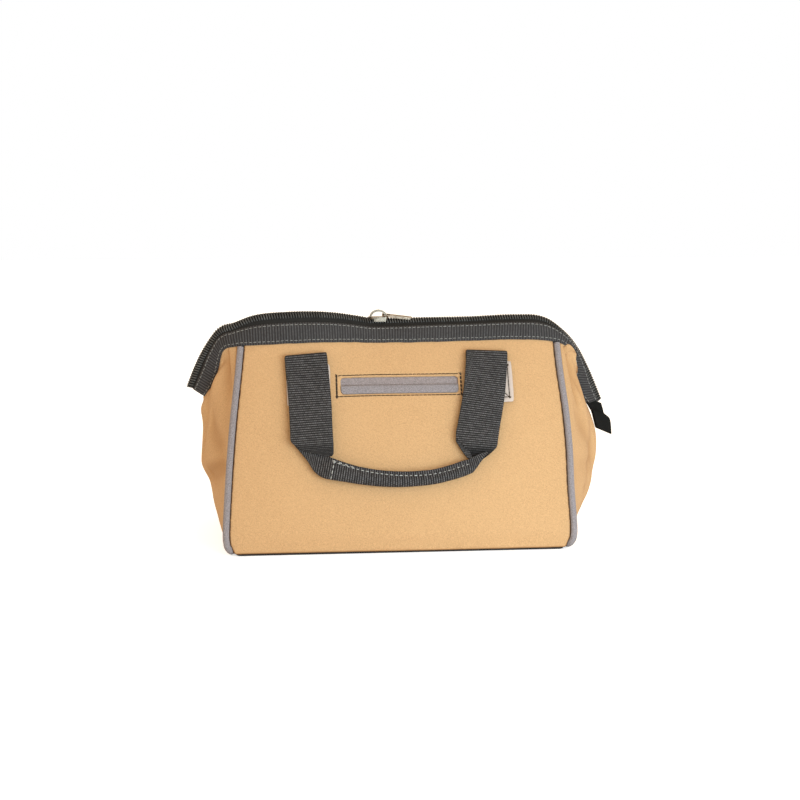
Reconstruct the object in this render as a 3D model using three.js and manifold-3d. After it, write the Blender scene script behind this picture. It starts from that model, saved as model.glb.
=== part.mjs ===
// A small gate-mouth tool bag in canvas. Two leaning panels, two bulging gussets and a flat base make
// a hollow body. Grey piping fills the corner seams, stiff bands and a zip close the mouth, two webbing
// handles hang against the panels, and a welt pocket opens in the front.
// Millimetres. +X runs along the bag, -Y is its front, +Z is up, and the origin is the middle of the base.
import * as THREE from 'three';
import { mergeVertices } from 'three/addons/utils/BufferGeometryUtils.js';
import Module from 'manifold-3d';

const wasm = await Module();
wasm.setup();

// Which side of the bag a piece is on
const FRONT = -1;
const BACK = 1;
const LEFT = -1;
const RIGHT = 1;

// Driving dimensions
const SEWN_GAP = 0.35; // clearance between neighbouring pieces
const CANVAS_THICK = 1.6;
const WEB_THICK = 1.8;
const BASE = { halfLength: 147.4, halfDepth: 91.8, thick: 2.6, corner: 5 };
const PIPING = { radius: 2.9, turn: 9, baseX: 150.8, baseZ: 3.2, sides: 8 };
const BAND = { share: 0.6, lean: 0.28, edgeThick: 2, midThick: 3.4 };
const TAPE = { start: 1.2, thick: 1.1, toothHalf: 1.7, noseHalf: 0.9, shoulder: 4.1, crown: 2.4 };
const SEAM_TRIM = PIPING.radius + SEWN_GAP;

// The body by height: half the length between the corner seams, how far the middle has slumped along X,
// half the depth of the bag, and how far the panels belly out midway between the seams.
const BODY = [
  { z: 2, halfWidth: 151, shift: 0, halfDepth: 90.6, belly: 0 },
  { z: 12, halfWidth: 154, shift: 0, halfDepth: 92.4, belly: 0.6 },
  { z: 22, halfWidth: 155, shift: 0, halfDepth: 91.6, belly: 1.5 },
  { z: 55, halfWidth: 154.3, shift: 0.7, halfDepth: 80, belly: 3.6 },
  { z: 88, halfWidth: 153.7, shift: 2.5, halfDepth: 66.3, belly: 4.2 },
  { z: 120, halfWidth: 151.9, shift: 3.8, halfDepth: 52.7, belly: 3.8 },
  { z: 155, halfWidth: 148.7, shift: 4.8, halfDepth: 37.3, belly: 2.3 },
  { z: 184, halfWidth: 146.8, shift: 5.9, halfDepth: 24.5, belly: 0 },
];

// The mouth from the left zip end, over the top, to the right zip end. The foot is where the band meets
// the canvas and the coil is the zip's free edge. The Y columns are distances from the middle of the mouth:
// the zip is open from the left end to the slider, and closed from there to the right end.
const MOUTH = [
  { at: 'left end', footX: -175, footZ: 131.5, footY: 5.6, coilX: -190, coilZ: 141, coilY: 1.4 },
  { at: 'left leg low', footX: -165, footZ: 149, footY: 10.5, coilX: -182.4, coilZ: 160, coilY: 4.2 },
  { at: 'left leg', footX: -161, footZ: 164.5, footY: 14.5, coilX: -174.5, coilZ: 175, coilY: 7.5 },
  { at: 'left bend', footX: -157, footZ: 176, footY: 20, coilX: -162.5, coilZ: 191.5, coilY: 12.5 },
  { at: 'left corner', footX: -146, footZ: 180.2, footY: 26, coilX: -148.5, coilZ: 201, coilY: 18.5 },
  { at: 'left top', footX: -127, footZ: 181.8, footY: 30, coilX: -128, coilZ: 208.2, coilY: 22.5 },
  { at: 'widest', footX: -97, footZ: 183.2, footY: 31, coilX: -98, coilZ: 210.2, coilY: 23.5 },
  { at: 'open top', footX: -67, footZ: 183.5, footY: 27, coilX: -68, coilZ: 208.6, coilY: 17.5 },
  { at: 'neck', footX: -43.5, footZ: 182.8, footY: 21, coilX: -44, coilZ: 205.5, coilY: 9.5 },
  { at: 'slider mouth', footX: -23.5, footZ: 181.8, footY: 17.5, coilX: -23.5, coilZ: 201, coilY: 3.2 },
  { at: 'slider tail', footX: -11.5, footZ: 181.6, footY: 16.4, coilX: -11.5, coilZ: 200.5, coilY: 1.1 },
  { at: 'closed near', footX: 28.5, footZ: 181.7, footY: 16, coilX: 29.5, coilZ: 202, coilY: 1.1 },
  { at: 'closed mid', footX: 71, footZ: 182.6, footY: 16, coilX: 72, coilZ: 203.7, coilY: 1.1 },
  { at: 'right top', footX: 115, footZ: 183.4, footY: 16, coilX: 117, coilZ: 205.2, coilY: 1.1 },
  { at: 'right corner', footX: 144, footZ: 181.8, footY: 14.5, coilX: 143.5, coilZ: 201, coilY: 1.1 },
  { at: 'right shoulder', footX: 159, footZ: 178, footY: 13, coilX: 163, coilZ: 187, coilY: 1.1 },
  { at: 'right bend', footX: 167.5, footZ: 168.5, footY: 11.5, coilX: 176, coilZ: 171, coilY: 1.1 },
  { at: 'right leg', footX: 172.5, footZ: 154.5, footY: 9, coilX: 185.5, coilZ: 153, coilY: 1.1 },
  { at: 'right leg low', footX: 175.5, footZ: 140, footY: 7, coilX: 191.8, coilZ: 140, coilY: 1.1 },
  { at: 'right end', footX: 182, footZ: 126, footY: 5.2, coilX: 196.5, coilZ: 129, coilY: 1.1 },
];
const MOUTH_STEPS = 2; // lengths of band between two rows of the table

// How far each gusset bulges at its middle, by share of its height.
const GUSSET = { footZ: 6.6, trim: SEAM_TRIM + 0.5, topGap: 1.2, fullness: 2.4, tipShare: 0.12, columns: 20, rows: 14, gather: 0.5 };
const BULGE = {
  [LEFT]: [
    { share: 0, out: 153.5 },
    { share: 0.05, out: 158.5 },
    { share: 0.15, out: 166 },
    { share: 0.27, out: 169.5 },
    { share: 0.37, out: 173 },
    { share: 0.43, out: 176 },
    { share: 0.48, out: 178.5 },
    { share: 0.56, out: 180.5 },
    { share: 0.75, out: 179.5 },
    { share: 0.93, out: 179.5 },
    { share: 1, out: 176 },
  ],
  [RIGHT]: [
    { share: 0, out: 153.5 },
    { share: 0.04, out: 158 },
    { share: 0.08, out: 165 },
    { share: 0.13, out: 172.5 },
    { share: 0.28, out: 185.5 },
    { share: 0.4, out: 190 },
    { share: 0.54, out: 193 },
    { share: 0.76, out: 194.5 },
    { share: 0.92, out: 192 },
    { share: 1, out: 184 },
  ],
};

// Creases in the gussets, each from one place to another on the gusset. U runs from the front seam (-1)
// to the back seam (1), V from the base (0) to the mouth (1), and a positive depth dents the cloth.
const FOLDS = [
  { end: LEFT, fromU: -1, fromV: 0.42, toU: -0.2, toV: 0.4, depth: 4.5, reach: 0.07 },
  { end: LEFT, fromU: -0.9, fromV: 0.66, toU: -0.45, toV: 0.95, depth: 2.5, reach: 0.09 },
  { end: LEFT, fromU: 0.25, fromV: 0.36, toU: 1, toV: 0.5, depth: 4, reach: 0.08 },
  { end: LEFT, fromU: 0.05, fromV: 0.12, toU: 0.1, toV: 0.75, depth: 3, reach: 0.1 },
  { end: RIGHT, fromU: -1, fromV: 0.36, toU: -0.35, toV: 0.5, depth: 3.5, reach: 0.08 },
  { end: RIGHT, fromU: -0.72, fromV: 0.74, toU: -0.6, toV: 0.98, depth: 4, reach: 0.09 },
  { end: RIGHT, fromU: 0.2, fromV: 0.45, toU: 1, toV: 0.34, depth: 4, reach: 0.08 },
  { end: RIGHT, fromU: 0, fromV: 0.14, toU: -0.05, toV: 0.7, depth: 3, reach: 0.1 },
];

// A handle from its left sewn end, down, along the grip and up to its right sewn end. Lift stands off the
// panel, turn is the angle of the strap's width, and round runs from flat webbing (0) to the folded grip (1).
const HANDLE = { leftX: -82.9, rightX: 84.4, width: 38.3, sewnFoot: 130, foldZ: 168.3, sewnLift: 1.35, hangLift: 6.6,
  sewnSteps: 4, foldSteps: 5 };
const HANDLE_RUN = [
  { x: -82.7, z: 164, lift: 6.6, turn: 3, width: 38.3, thick: 1.8, round: 0 },
  { x: -80, z: 129, lift: 6.9, turn: 3, width: 38.3, thick: 1.8, round: 0 },
  { x: -78.7, z: 105, lift: 7.3, turn: -2, width: 37.6, thick: 1.8, round: 0 },
  { x: -78.5, z: 94.7, lift: 7.7, turn: -8, width: 36.6, thick: 2, round: 0.1 },
  { x: -76.2, z: 87.3, lift: 8, turn: -7, width: 32, thick: 3, round: 0.3 },
  { x: -74, z: 82.3, lift: 8.3, turn: -2, width: 27, thick: 4.5, round: 0.5 },
  { x: -70.9, z: 77.8, lift: 8.6, turn: 11, width: 20.5, thick: 6.5, round: 0.75 },
  { x: -67.8, z: 73.7, lift: 8.8, turn: 34, width: 16.5, thick: 8.5, round: 1 },
  { x: -62.2, z: 70.9, lift: 8.8, turn: 79, width: 14.4, thick: 9, round: 1 },
  { x: -49.5, z: 68.2, lift: 8.7, turn: 81, width: 14, thick: 9, round: 1 },
  { x: -36.9, z: 66, lift: 8.6, turn: 83, width: 13.8, thick: 9, round: 1 },
  { x: -19.5, z: 64, lift: 8.5, turn: 86, width: 13.6, thick: 9, round: 1 },
  { x: -1.5, z: 63.3, lift: 8.4, turn: 90, width: 13.6, thick: 9, round: 1 },
  { x: 14.5, z: 64, lift: 8.5, turn: 94, width: 13.6, thick: 9, round: 1 },
  { x: 30, z: 65.7, lift: 8.6, turn: 98, width: 13.8, thick: 9, round: 1 },
  { x: 46.5, z: 69, lift: 8.7, turn: 102, width: 14.4, thick: 9, round: 1 },
  { x: 61.8, z: 73.7, lift: 8.8, turn: 107, width: 15.5, thick: 9, round: 1 },
  { x: 64.5, z: 76.8, lift: 8.6, turn: 139, width: 16.5, thick: 8.5, round: 1 },
  { x: 66.6, z: 81.1, lift: 8.4, turn: 162, width: 21.5, thick: 6, round: 0.7 },
  { x: 68, z: 86, lift: 8, turn: 172, width: 28.5, thick: 4, round: 0.4 },
  { x: 68.2, z: 92.1, lift: 7.7, turn: 174, width: 36.6, thick: 2, round: 0.1 },
  { x: 72, z: 108, lift: 7.3, turn: 170, width: 38.3, thick: 1.8, round: 0 },
  { x: 78.7, z: 133, lift: 6.9, turn: 169, width: 38.3, thick: 1.8, round: 0 },
  { x: 84, z: 164, lift: 6.6, turn: 174, width: 38.3, thick: 1.8, round: 0 },
];
const PATCH = { leftX: -81.8, rightX: 85.6, width: 40, footZ: 127.4, topZ: 162.8, lift: 2.6, thick: 1.2, steps: 4 };

// The welt pocket: its window in the front panel, the folded lip across the lower part and the pouch behind.
const WINDOW = { left: -51.2, right: 57, foot: 137.2, top: 151.8, corner: 3.2, reach: 6 };
const LIP = { top: 144.8, back: -1.3, front: 1.1, columns: 6 };
const POUCH = { margin: 5.5, foot: 78, depth: 11.5, wall: 1.2, standOff: 0.7, columns: 6, rows: 6 };

// The zip's slider stands on the coils, and its pull swings on a bridge.
const SLIDER = { x: -13.5, length: 18, width: 14, plate: 1.4, topZ: 1.5, footZ: -4.9, footWidth: 7.6, corner: 3,
  railStart: -4.5, railEnd: 6.5, railDrop: 2.4, postLength: 2.6, postWidth: 1.6 };
const BRIDGE = { length: 16.4, height: 7, thick: 1.4, width: 3.4, steps: 10 };
const PULL = { pivotX: 4.5, pivotZ: 1.7, length: 27, width: 7, thick: 1.6, eyeLength: 5.6, eyeWidth: 4.6,
  bar: 0.8, droop: 3, slotStart: 10, slotEnd: 23, slotWidth: 1.8 };

// The free tail of the zip beyond its right end, from its root to its folded tip.
const TAIL = [
  { x: 191, y: 0, z: 126.9, turn: 90, width: 8, thick: 3 },
  { x: 194, y: -1, z: 119.5, turn: 60, width: 11, thick: 2.6 },
  { x: 196.4, y: -2, z: 112.6, turn: 30, width: 14, thick: 2.4 },
  { x: 198, y: -3, z: 108.4, turn: 20, width: 16.4, thick: 4.2 },
  { x: 201.6, y: -4, z: 93.4, turn: 16, width: 17, thick: 4.4 },
];
const TAIL_LEAN = -20; // degrees, how far the tail's width dips away from the bag

const COLOUR = {
  canvas: 0xd9a866, canvasDark: 0xc9985a, piping: 0x8f8a8e, webbing: 0x3a3a3b, band: 0x363638,
  zip: 0x29292b, base: 0x232325, patch: 0xe9ddd3, pouch: 0x87828a, nickel: 0xb9b7b2,
};

const { lerp, degToRad, smoothstep } = THREE.MathUtils;
const vec = (x, y, z) => new THREE.Vector3(x, y, z);
const fabric = (color) => new THREE.MeshStandardMaterial({ color, roughness: 0.9, metalness: 0 });
const metal = (color) => new THREE.MeshStandardMaterial({ color, roughness: 0.3, metalness: 1 });

// A table's values at a place between its rows, on a cubic through the neighbouring rows.
function rowAt(rows, key, place) {
  const last = rows.length - 1;
  let i = 0;
  while (i < last - 1 && place > rows[i + 1][key]) i += 1;
  const span = rows[i + 1][key] - rows[i][key];
  const t = THREE.MathUtils.clamp((place - rows[i][key]) / span, 0, 1);
  const slope = (k, column) => {
    const before = rows[Math.max(k - 1, 0)];
    const after = rows[Math.min(k + 1, last)];
    return (after[column] - before[column]) / (after[key] - before[key]);
  };
  const ease = t * t * (3 - 2 * t);
  const out = {};
  for (const column of Object.keys(rows[0])) {
    if (typeof rows[0][column] !== 'number') continue;
    const start = slope(i, column) * span;
    const end = slope(i + 1, column) * span;
    const rise = start * t * (1 - t) ** 2 - end * t * t * (1 - t);
    out[column] = lerp(rows[i][column], rows[i + 1][column], ease) + rise;
  }
  return out;
}

// A closed solid from points and triangles, with its faces turned outwards.
function solid(points, triangles) {
  let volume = 0;
  const product = vec(0, 0, 0);
  for (const [a, b, c] of triangles) volume += points[a].dot(product.crossVectors(points[b], points[c]));
  const order = volume < 0 ? triangles.map(([a, b, c]) => [a, c, b]) : triangles;
  const geometry = new THREE.BufferGeometry().setFromPoints(points);
  geometry.setIndex(order.flat());
  return geometry;
}

// A closed skin between two grids of points that face each other, such as the two faces of a cloth wall.
function skin(outer, inner) {
  const rows = outer.length;
  const columns = outer[0].length;
  const half = rows * columns;
  const points = [...outer.flat(), ...inner.flat()];
  const triangles = [];
  const quad = (a, b, c, d) => triangles.push([a, b, c], [a, c, d]);
  const at = (r, c) => r * columns + c;
  for (let r = 0; r < rows - 1; r += 1) {
    for (let c = 0; c < columns - 1; c += 1) {
      quad(at(r, c), at(r, c + 1), at(r + 1, c + 1), at(r + 1, c));
      quad(half + at(r, c), half + at(r + 1, c), half + at(r + 1, c + 1), half + at(r, c + 1));
    }
  }
  const rim = [];
  for (let c = 0; c < columns - 1; c += 1) rim.push(at(0, c));
  for (let r = 0; r < rows - 1; r += 1) rim.push(at(r, columns - 1));
  for (let c = columns - 1; c > 0; c -= 1) rim.push(at(rows - 1, c));
  for (let r = rows - 1; r > 0; r -= 1) rim.push(at(r, 0));
  rim.forEach((a, i) => {
    const b = rim[(i + 1) % rim.length];
    quad(b, a, half + a, half + b);
  });
  return solid(points, triangles);
}

// The grid moved along its own normals, towards the inside of the bag.
function insideOf(grid, thick, inward) {
  const rows = grid.length;
  const columns = grid[0].length;
  return grid.map((row, r) => row.map((point, c) => {
    const across = row[Math.min(c + 1, columns - 1)].clone().sub(row[Math.max(c - 1, 0)]);
    const up = grid[Math.min(r + 1, rows - 1)][c].clone().sub(grid[Math.max(r - 1, 0)][c]);
    const normal = across.cross(up).normalize();
    if (normal.dot(inward) < 0) normal.negate();
    return point.clone().addScaledVector(normal, thick);
  }));
}

// A closed solid through a run of loops. Each loop lists one long side and then the other side back,
// so that an end is closed by rungs between the two sides.
function loft(loops) {
  const count = loops[0].length;
  const points = loops.flat();
  const triangles = [];
  for (let k = 0; k < loops.length - 1; k += 1) {
    for (let i = 0; i < count; i += 1) {
      const a = k * count + i;
      const b = k * count + ((i + 1) % count);
      triangles.push([a, b, b + count], [a, b + count, a + count]);
    }
  }
  const far = (loops.length - 1) * count;
  for (let i = 0; i < count / 2 - 1; i += 1) {
    const across = count - 1 - i;
    triangles.push([i + 1, i, across], [i + 1, across, across - 1]);
    triangles.push([far + i, far + i + 1, far + across], [far + i + 1, far + across - 1, far + across]);
  }
  return solid(points, triangles);
}

// Booleans: a three.js geometry as a manifold solid, and back.
function toManifold(geometry) {
  const bare = new THREE.BufferGeometry().setAttribute('position', geometry.getAttribute('position'));
  bare.setIndex(geometry.index);
  const merged = mergeVertices(bare, 1e-4);
  return new wasm.Manifold(new wasm.Mesh({
    numProp: 3,
    vertProperties: merged.getAttribute('position').array,
    triVerts: new Uint32Array(merged.index.array),
  }));
}

function fromManifold(body) {
  const { vertProperties, triVerts } = body.getMesh();
  const geometry = new THREE.BufferGeometry();
  geometry.setAttribute('position', new THREE.BufferAttribute(new Float32Array(vertProperties), 3));
  geometry.setIndex(new THREE.BufferAttribute(new Uint32Array(triVerts), 1));
  return geometry;
}

// A rectangle with round corners, as a flat shape.
function roundedRectangle(left, foot, right, top, radius) {
  const shape = new THREE.Shape();
  shape.moveTo(left + radius, foot);
  shape.lineTo(right - radius, foot);
  shape.absarc(right - radius, foot + radius, radius, -Math.PI / 2, 0);
  shape.lineTo(right, top - radius);
  shape.absarc(right - radius, top - radius, radius, 0, Math.PI / 2);
  shape.lineTo(left + radius, top);
  shape.absarc(left + radius, top - radius, radius, Math.PI / 2, Math.PI);
  shape.lineTo(left, foot + radius);
  shape.absarc(left + radius, foot + radius, radius, Math.PI, 1.5 * Math.PI);
  return shape;
}

// Places on the mouth: the foot of the band, its top edge and the zip's coil.
function mouthAt(side, footX) {
  const row = rowAt(MOUTH, 'footX', footX);
  const foot = vec(footX, side * row.footY, row.footZ);
  const coil = vec(row.coilX, side * row.coilY, row.coilZ);
  const top = foot.clone().lerp(coil, BAND.share);
  top.y = lerp(foot.y, coil.y, BAND.lean);
  return { foot, top, coil };
}

function mouthStations() {
  const stations = [];
  for (let i = 0; i < MOUTH.length - 1; i += 1) {
    for (let k = 0; k < MOUTH_STEPS; k += 1) {
      stations.push(lerp(MOUTH[i].footX, MOUTH[i + 1].footX, k / MOUTH_STEPS));
    }
  }
  stations.push(MOUTH[MOUTH.length - 1].footX);
  return stations;
}

// A frame across the mouth at one station: from a lower line to an upper line, and out of the cloth.
function acrossMouth(side, stations, i, lower, upper) {
  const here = mouthAt(side, stations[i]);
  const before = mouthAt(side, stations[Math.max(i - 1, 0)]);
  const after = mouthAt(side, stations[Math.min(i + 1, stations.length - 1)]);
  const along = after[lower].clone().add(after[upper]).sub(before[lower]).sub(before[upper]);
  const rise = here[upper].clone().sub(here[lower]);
  const normal = along.cross(rise).normalize();
  return { from: here[lower], length: rise.length(), rise: rise.normalize(), normal };
}

function bandGeometry(side) {
  const stations = mouthStations();
  return loft(stations.map((_, i) => {
    const { from, length, rise, normal } = acrossMouth(side, stations, i, 'foot', 'top');
    const at = (share, half) => from.clone().addScaledVector(rise, length * share).addScaledVector(normal, half);
    const edge = BAND.edgeThick / 2;
    const mid = BAND.midThick / 2;
    return [at(0, edge), at(0.5, mid), at(1, edge), at(1, -edge), at(0.5, -mid), at(0, -edge)];
  }));
}

// One half of the zip: a tape along the top of the band, ending in the bead of the coil.
function zipGeometry(side) {
  const stations = mouthStations();
  return loft(stations.map((_, i) => {
    const { from, length, rise, normal } = acrossMouth(side, stations, i, 'top', 'coil');
    const at = (reach, half) => from.clone().addScaledVector(rise, reach).addScaledVector(normal, half);
    const profile = [
      [TAPE.start, TAPE.thick / 2],
      [length - TAPE.shoulder, TAPE.thick / 2],
      [length - TAPE.crown, TAPE.toothHalf],
      [length, TAPE.noseHalf],
    ];
    const outside = profile.map(([reach, half]) => at(reach, half));
    const inside = profile.map(([reach, half]) => at(reach, -half)).reverse();
    return [...outside, ...inside];
  }));
}

// A place on a leaning panel: X along the bag, Z up, and a lift off the outer face.
function onPanel(side, x, z) {
  const foot = mouthAt(side, x).foot;
  const body = rowAt(BODY, 'z', z);
  const climb = THREE.MathUtils.clamp((z - BODY[0].z) / (foot.z - BODY[0].z), 0, 1);
  const pull = Math.abs(foot.y) - rowAt(BODY, 'z', foot.z).halfDepth;
  const middle = 1 - Math.min(Math.abs(x - body.shift) / body.halfWidth, 1) ** 2;
  return vec(x, side * (body.halfDepth + body.belly * middle + pull * climb ** 2), z);
}

function panelFrame(side, x, z) {
  const step = 1;
  const point = onPanel(side, x, z);
  const across = onPanel(side, x + step, z).sub(onPanel(side, x - step, z)).normalize();
  const up = onPanel(side, x, z + step).sub(onPanel(side, x, z - step)).normalize();
  const normal = across.clone().cross(up).normalize();
  if (normal.y * side < 0) normal.negate();
  return { point, across, up, normal };
}

function liftedPoint(side, x, z, lift) {
  const { point, normal } = panelFrame(side, x, z);
  return point.addScaledVector(normal, lift);
}

// A thin slab that follows a panel, between two lifts off its face.
function panelSlab(side, left, right, foot, top, back, front, columns, rows) {
  const face = (lift) => Array.from({ length: rows + 1 }, (_, r) => (
    Array.from({ length: columns + 1 }, (__, c) => (
      liftedPoint(side, lerp(left, right, c / columns), lerp(foot, top, r / rows), lift)
    ))
  ));
  return skin(face(front), face(back));
}

function panelGeometry(side) {
  const columns = 16;
  const rows = 12;
  const foot = BASE.thick + SEWN_GAP;
  const grid = Array.from({ length: rows + 1 }, (_, r) => (
    Array.from({ length: columns + 1 }, (__, c) => {
      const share = c / columns;
      const place = (z) => {
        const { halfWidth, shift } = rowAt(BODY, 'z', z);
        return shift + lerp(-1, 1, share) * (halfWidth - SEAM_TRIM);
      };
      const top = mouthAt(side, place(BODY.at(-1).z)).foot.z - SEWN_GAP;
      const z = lerp(foot, top, r / rows);
      return onPanel(side, place(z), z);
    })
  ));
  return skin(grid, insideOf(grid, CANVAS_THICK, vec(0, -side, 0)));
}

// A block that cuts the pocket's window out of the front panel, taken in by an inset on every side.
function windowBlock(inset) {
  const { left, right, foot, top, corner, reach } = WINDOW;
  const middle = panelFrame(FRONT, (left + right) / 2, (foot + top) / 2);
  const half = { x: (right - left) / 2 - inset, s: (top - foot) / 2 / middle.up.z - inset };
  const shape = roundedRectangle(-half.x, -half.s, half.x, half.s, corner);
  const block = new THREE.ExtrudeGeometry(shape, { depth: 2 * reach, bevelEnabled: false, curveSegments: 3 });
  block.translate(0, 0, -reach);
  const across = vec(1, 0, 0);
  const up = middle.up.clone();
  up.x = 0;
  up.normalize();
  block.applyMatrix4(new THREE.Matrix4().makeBasis(across, up, across.clone().cross(up)).setPosition(middle.point));
  return toManifold(block);
}

function frontPanelGeometry() {
  return fromManifold(toManifold(panelGeometry(FRONT)).subtract(windowBlock(0)));
}

function lipGeometry() {
  const { left, right, foot } = WINDOW;
  const slab = panelSlab(FRONT, left, right, foot, LIP.top, LIP.back, LIP.front, LIP.columns, 1);
  return fromManifold(toManifold(slab).intersect(windowBlock(SEWN_GAP)));
}

// The pouch is a shallow tray sewn to the back of the front panel around the window.
function pouchGeometry() {
  const left = WINDOW.left - POUCH.margin;
  const right = WINDOW.right + POUCH.margin;
  const top = WINDOW.top + POUCH.margin;
  const { foot, depth, wall, standOff, columns, rows } = POUCH;
  const rim = -(CANVAS_THICK + standOff);
  const block = panelSlab(FRONT, left, right, foot, top, rim - depth, rim, columns, rows);
  const hollow = panelSlab(FRONT, left + wall, right - wall, foot + wall, top - wall, rim - depth + wall, rim + 1,
    columns, rows);
  return fromManifold(toManifold(block).subtract(toManifold(hollow)));
}

// The corner seam at one end: its depth narrows in an arc at the base, where the piping turns under.
function seamAt(end, side, z) {
  const { halfWidth, shift } = rowAt(BODY, 'z', z);
  return onPanel(side, shift + end * halfWidth, z);
}

function seamTop(end) {
  const { halfWidth, shift } = BODY.at(-1);
  return mouthAt(FRONT, shift + end * halfWidth).foot;
}

function pipingGeometry(end) {
  const { radius, turn, baseX, baseZ, sides } = PIPING;
  const bendZ = baseZ + turn;
  const topZ = seamTop(end).z - 0.55 * radius - SEWN_GAP;
  const seamSteps = 12;
  const bendSteps = 4;
  const front = [];
  for (let i = 0; i <= seamSteps; i += 1) front.push(seamAt(end, FRONT, lerp(topZ, bendZ, i / seamSteps)));
  const corner = front[front.length - 1];
  for (let i = 1; i <= bendSteps; i += 1) {
    const angle = (i / bendSteps) * Math.PI / 2;
    const x = lerp(corner.x, end * baseX, Math.sin(angle) ** 2);
    front.push(vec(x, corner.y + turn * (1 - Math.cos(angle)), bendZ - turn * Math.sin(angle)));
  }
  const back = front.map((point) => vec(point.x, -point.y, point.z)).reverse();
  const path = [...front, ...back];
  return loft(path.map((point, i) => {
    const along = path[Math.min(i + 1, path.length - 1)].clone().sub(path[Math.max(i - 1, 0)]).normalize();
    const out = vec(end, 0, 0).addScaledVector(along, -end * along.x).normalize();
    const over = along.clone().cross(out);
    return Array.from({ length: sides }, (_, k) => {
      const angle = ((k + 0.5) / sides) * 2 * Math.PI;
      return point.clone().addScaledVector(out, radius * Math.cos(angle)).addScaledVector(over, radius * Math.sin(angle));
    });
  }));
}

// A place on a gusset before its seam allowance is trimmed, from the front seam to the back seam.
function onGusset(end, u, v) {
  const spread = Math.abs(u);
  const side = u < 0 ? FRONT : BACK;
  const top = seamTop(end);
  const tip = end === LEFT ? MOUTH[0] : MOUTH.at(-1);
  const seamZ = lerp(GUSSET.footZ, top.z, v);
  const seam = seamAt(end, side, seamZ);
  const bend = PIPING.baseZ + PIPING.turn;
  if (seamZ < bend) {
    const arc = Math.sqrt(Math.max((PIPING.turn - GUSSET.trim) ** 2 - (bend - seamZ) ** 2, 0));
    seam.y = side * (Math.abs(seamAt(end, side, bend).y) - PIPING.turn + arc + GUSSET.trim);
  }
  const bulge = rowAt(BULGE[end], 'share', v).out;
  const low = vec(
    lerp(seam.x, end * bulge, 1 - spread ** GUSSET.fullness),
    seam.y * spread,
    lerp(seamZ, lerp(GUSSET.footZ, tip.footZ, v), 1 - spread ** 2),
  );
  const reach = THREE.MathUtils.clamp((spread - GUSSET.tipShare) / (1 - GUSSET.tipShare), 0, 1);
  const { foot, coil } = mouthAt(side, lerp(tip.footX, top.x, reach));
  const high = foot.clone().addScaledVector(foot.clone().sub(coil).normalize(), GUSSET.topGap);
  if (spread < GUSSET.tipShare) high.y *= spread / GUSSET.tipShare;
  return low.lerp(high, smoothstep(v, GUSSET.gather, 1));
}

// How far the creases dent a gusset at one place.
function foldDepth(end, u, v) {
  let depth = 0;
  for (const fold of FOLDS) {
    if (fold.end !== end) continue;
    const runU = fold.toU - fold.fromU;
    const runV = fold.toV - fold.fromV;
    const along = ((u - fold.fromU) * runU + (v - fold.fromV) * runV) / (runU ** 2 + runV ** 2);
    const t = THREE.MathUtils.clamp(along, 0, 1);
    const off = Math.hypot(u - fold.fromU - t * runU, v - fold.fromV - t * runV);
    depth += fold.depth * Math.exp(-((off / fold.reach) ** 2));
  }
  return depth * smoothstep(v, 0, 0.1) * (1 - smoothstep(v, 0.85, 1)) * (1 - smoothstep(Math.abs(u), 0.8, 1));
}

// One level of a gusset: points at even spacing between the two trimmed seams.
function gussetRow(end, v) {
  const samples = 120;
  const curve = Array.from({ length: samples + 1 }, (_, i) => {
    const u = lerp(-1, 1, i / samples);
    return { u, point: onGusset(end, u, v) };
  });
  const run = [0];
  for (let i = 1; i <= samples; i += 1) run.push(run[i - 1] + curve[i].point.distanceTo(curve[i - 1].point));
  const total = run[samples];
  const centre = vec(0, 0, GUSSET.footZ);
  return Array.from({ length: GUSSET.columns + 1 }, (_, c) => {
    const place = lerp(GUSSET.trim, total - GUSSET.trim, c / GUSSET.columns);
    let i = 1;
    while (i < samples && run[i] < place) i += 1;
    const t = (place - run[i - 1]) / (run[i] - run[i - 1]);
    const point = curve[i - 1].point.clone().lerp(curve[i].point, t);
    const inward = centre.clone().setZ(point.z).sub(point).normalize();
    return point.addScaledVector(inward, foldDepth(end, lerp(curve[i - 1].u, curve[i].u, t), v));
  });
}

function gussetGeometry(end) {
  const lowCrowding = 1.25; // rows lie closer together near the base
  const grid = Array.from({ length: GUSSET.rows + 1 }, (_, r) => gussetRow(end, (r / GUSSET.rows) ** lowCrowding));
  return skin(grid, insideOf(grid, CANVAS_THICK, vec(-end, 0, 0)));
}

function baseGeometry() {
  const { halfLength, halfDepth, thick, corner } = BASE;
  const shape = roundedRectangle(-halfLength, -halfDepth, halfLength, halfDepth, corner);
  return new THREE.ExtrudeGeometry(shape, { depth: thick, bevelEnabled: false, curveSegments: 6 });
}

// Eight points round a strap's section, from a flat webbing to the round folded grip.
const STRAP_STOPS = [-1, -1 / 3, 1 / 3, 1]; // shares of half the width
function strapLoop(centre, across, out, width, thick, round) {
  const side = (sign) => STRAP_STOPS.map((stop, i) => {
    const angle = degToRad(157.5 - 45 * i);
    const x = lerp(stop, Math.cos(angle), round) * width / 2;
    const y = lerp(1, Math.sin(angle), round) * thick / 2 * sign;
    return centre.clone().addScaledVector(across, x).addScaledVector(out, y);
  });
  return [...side(1), ...side(-1).reverse()];
}

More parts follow.
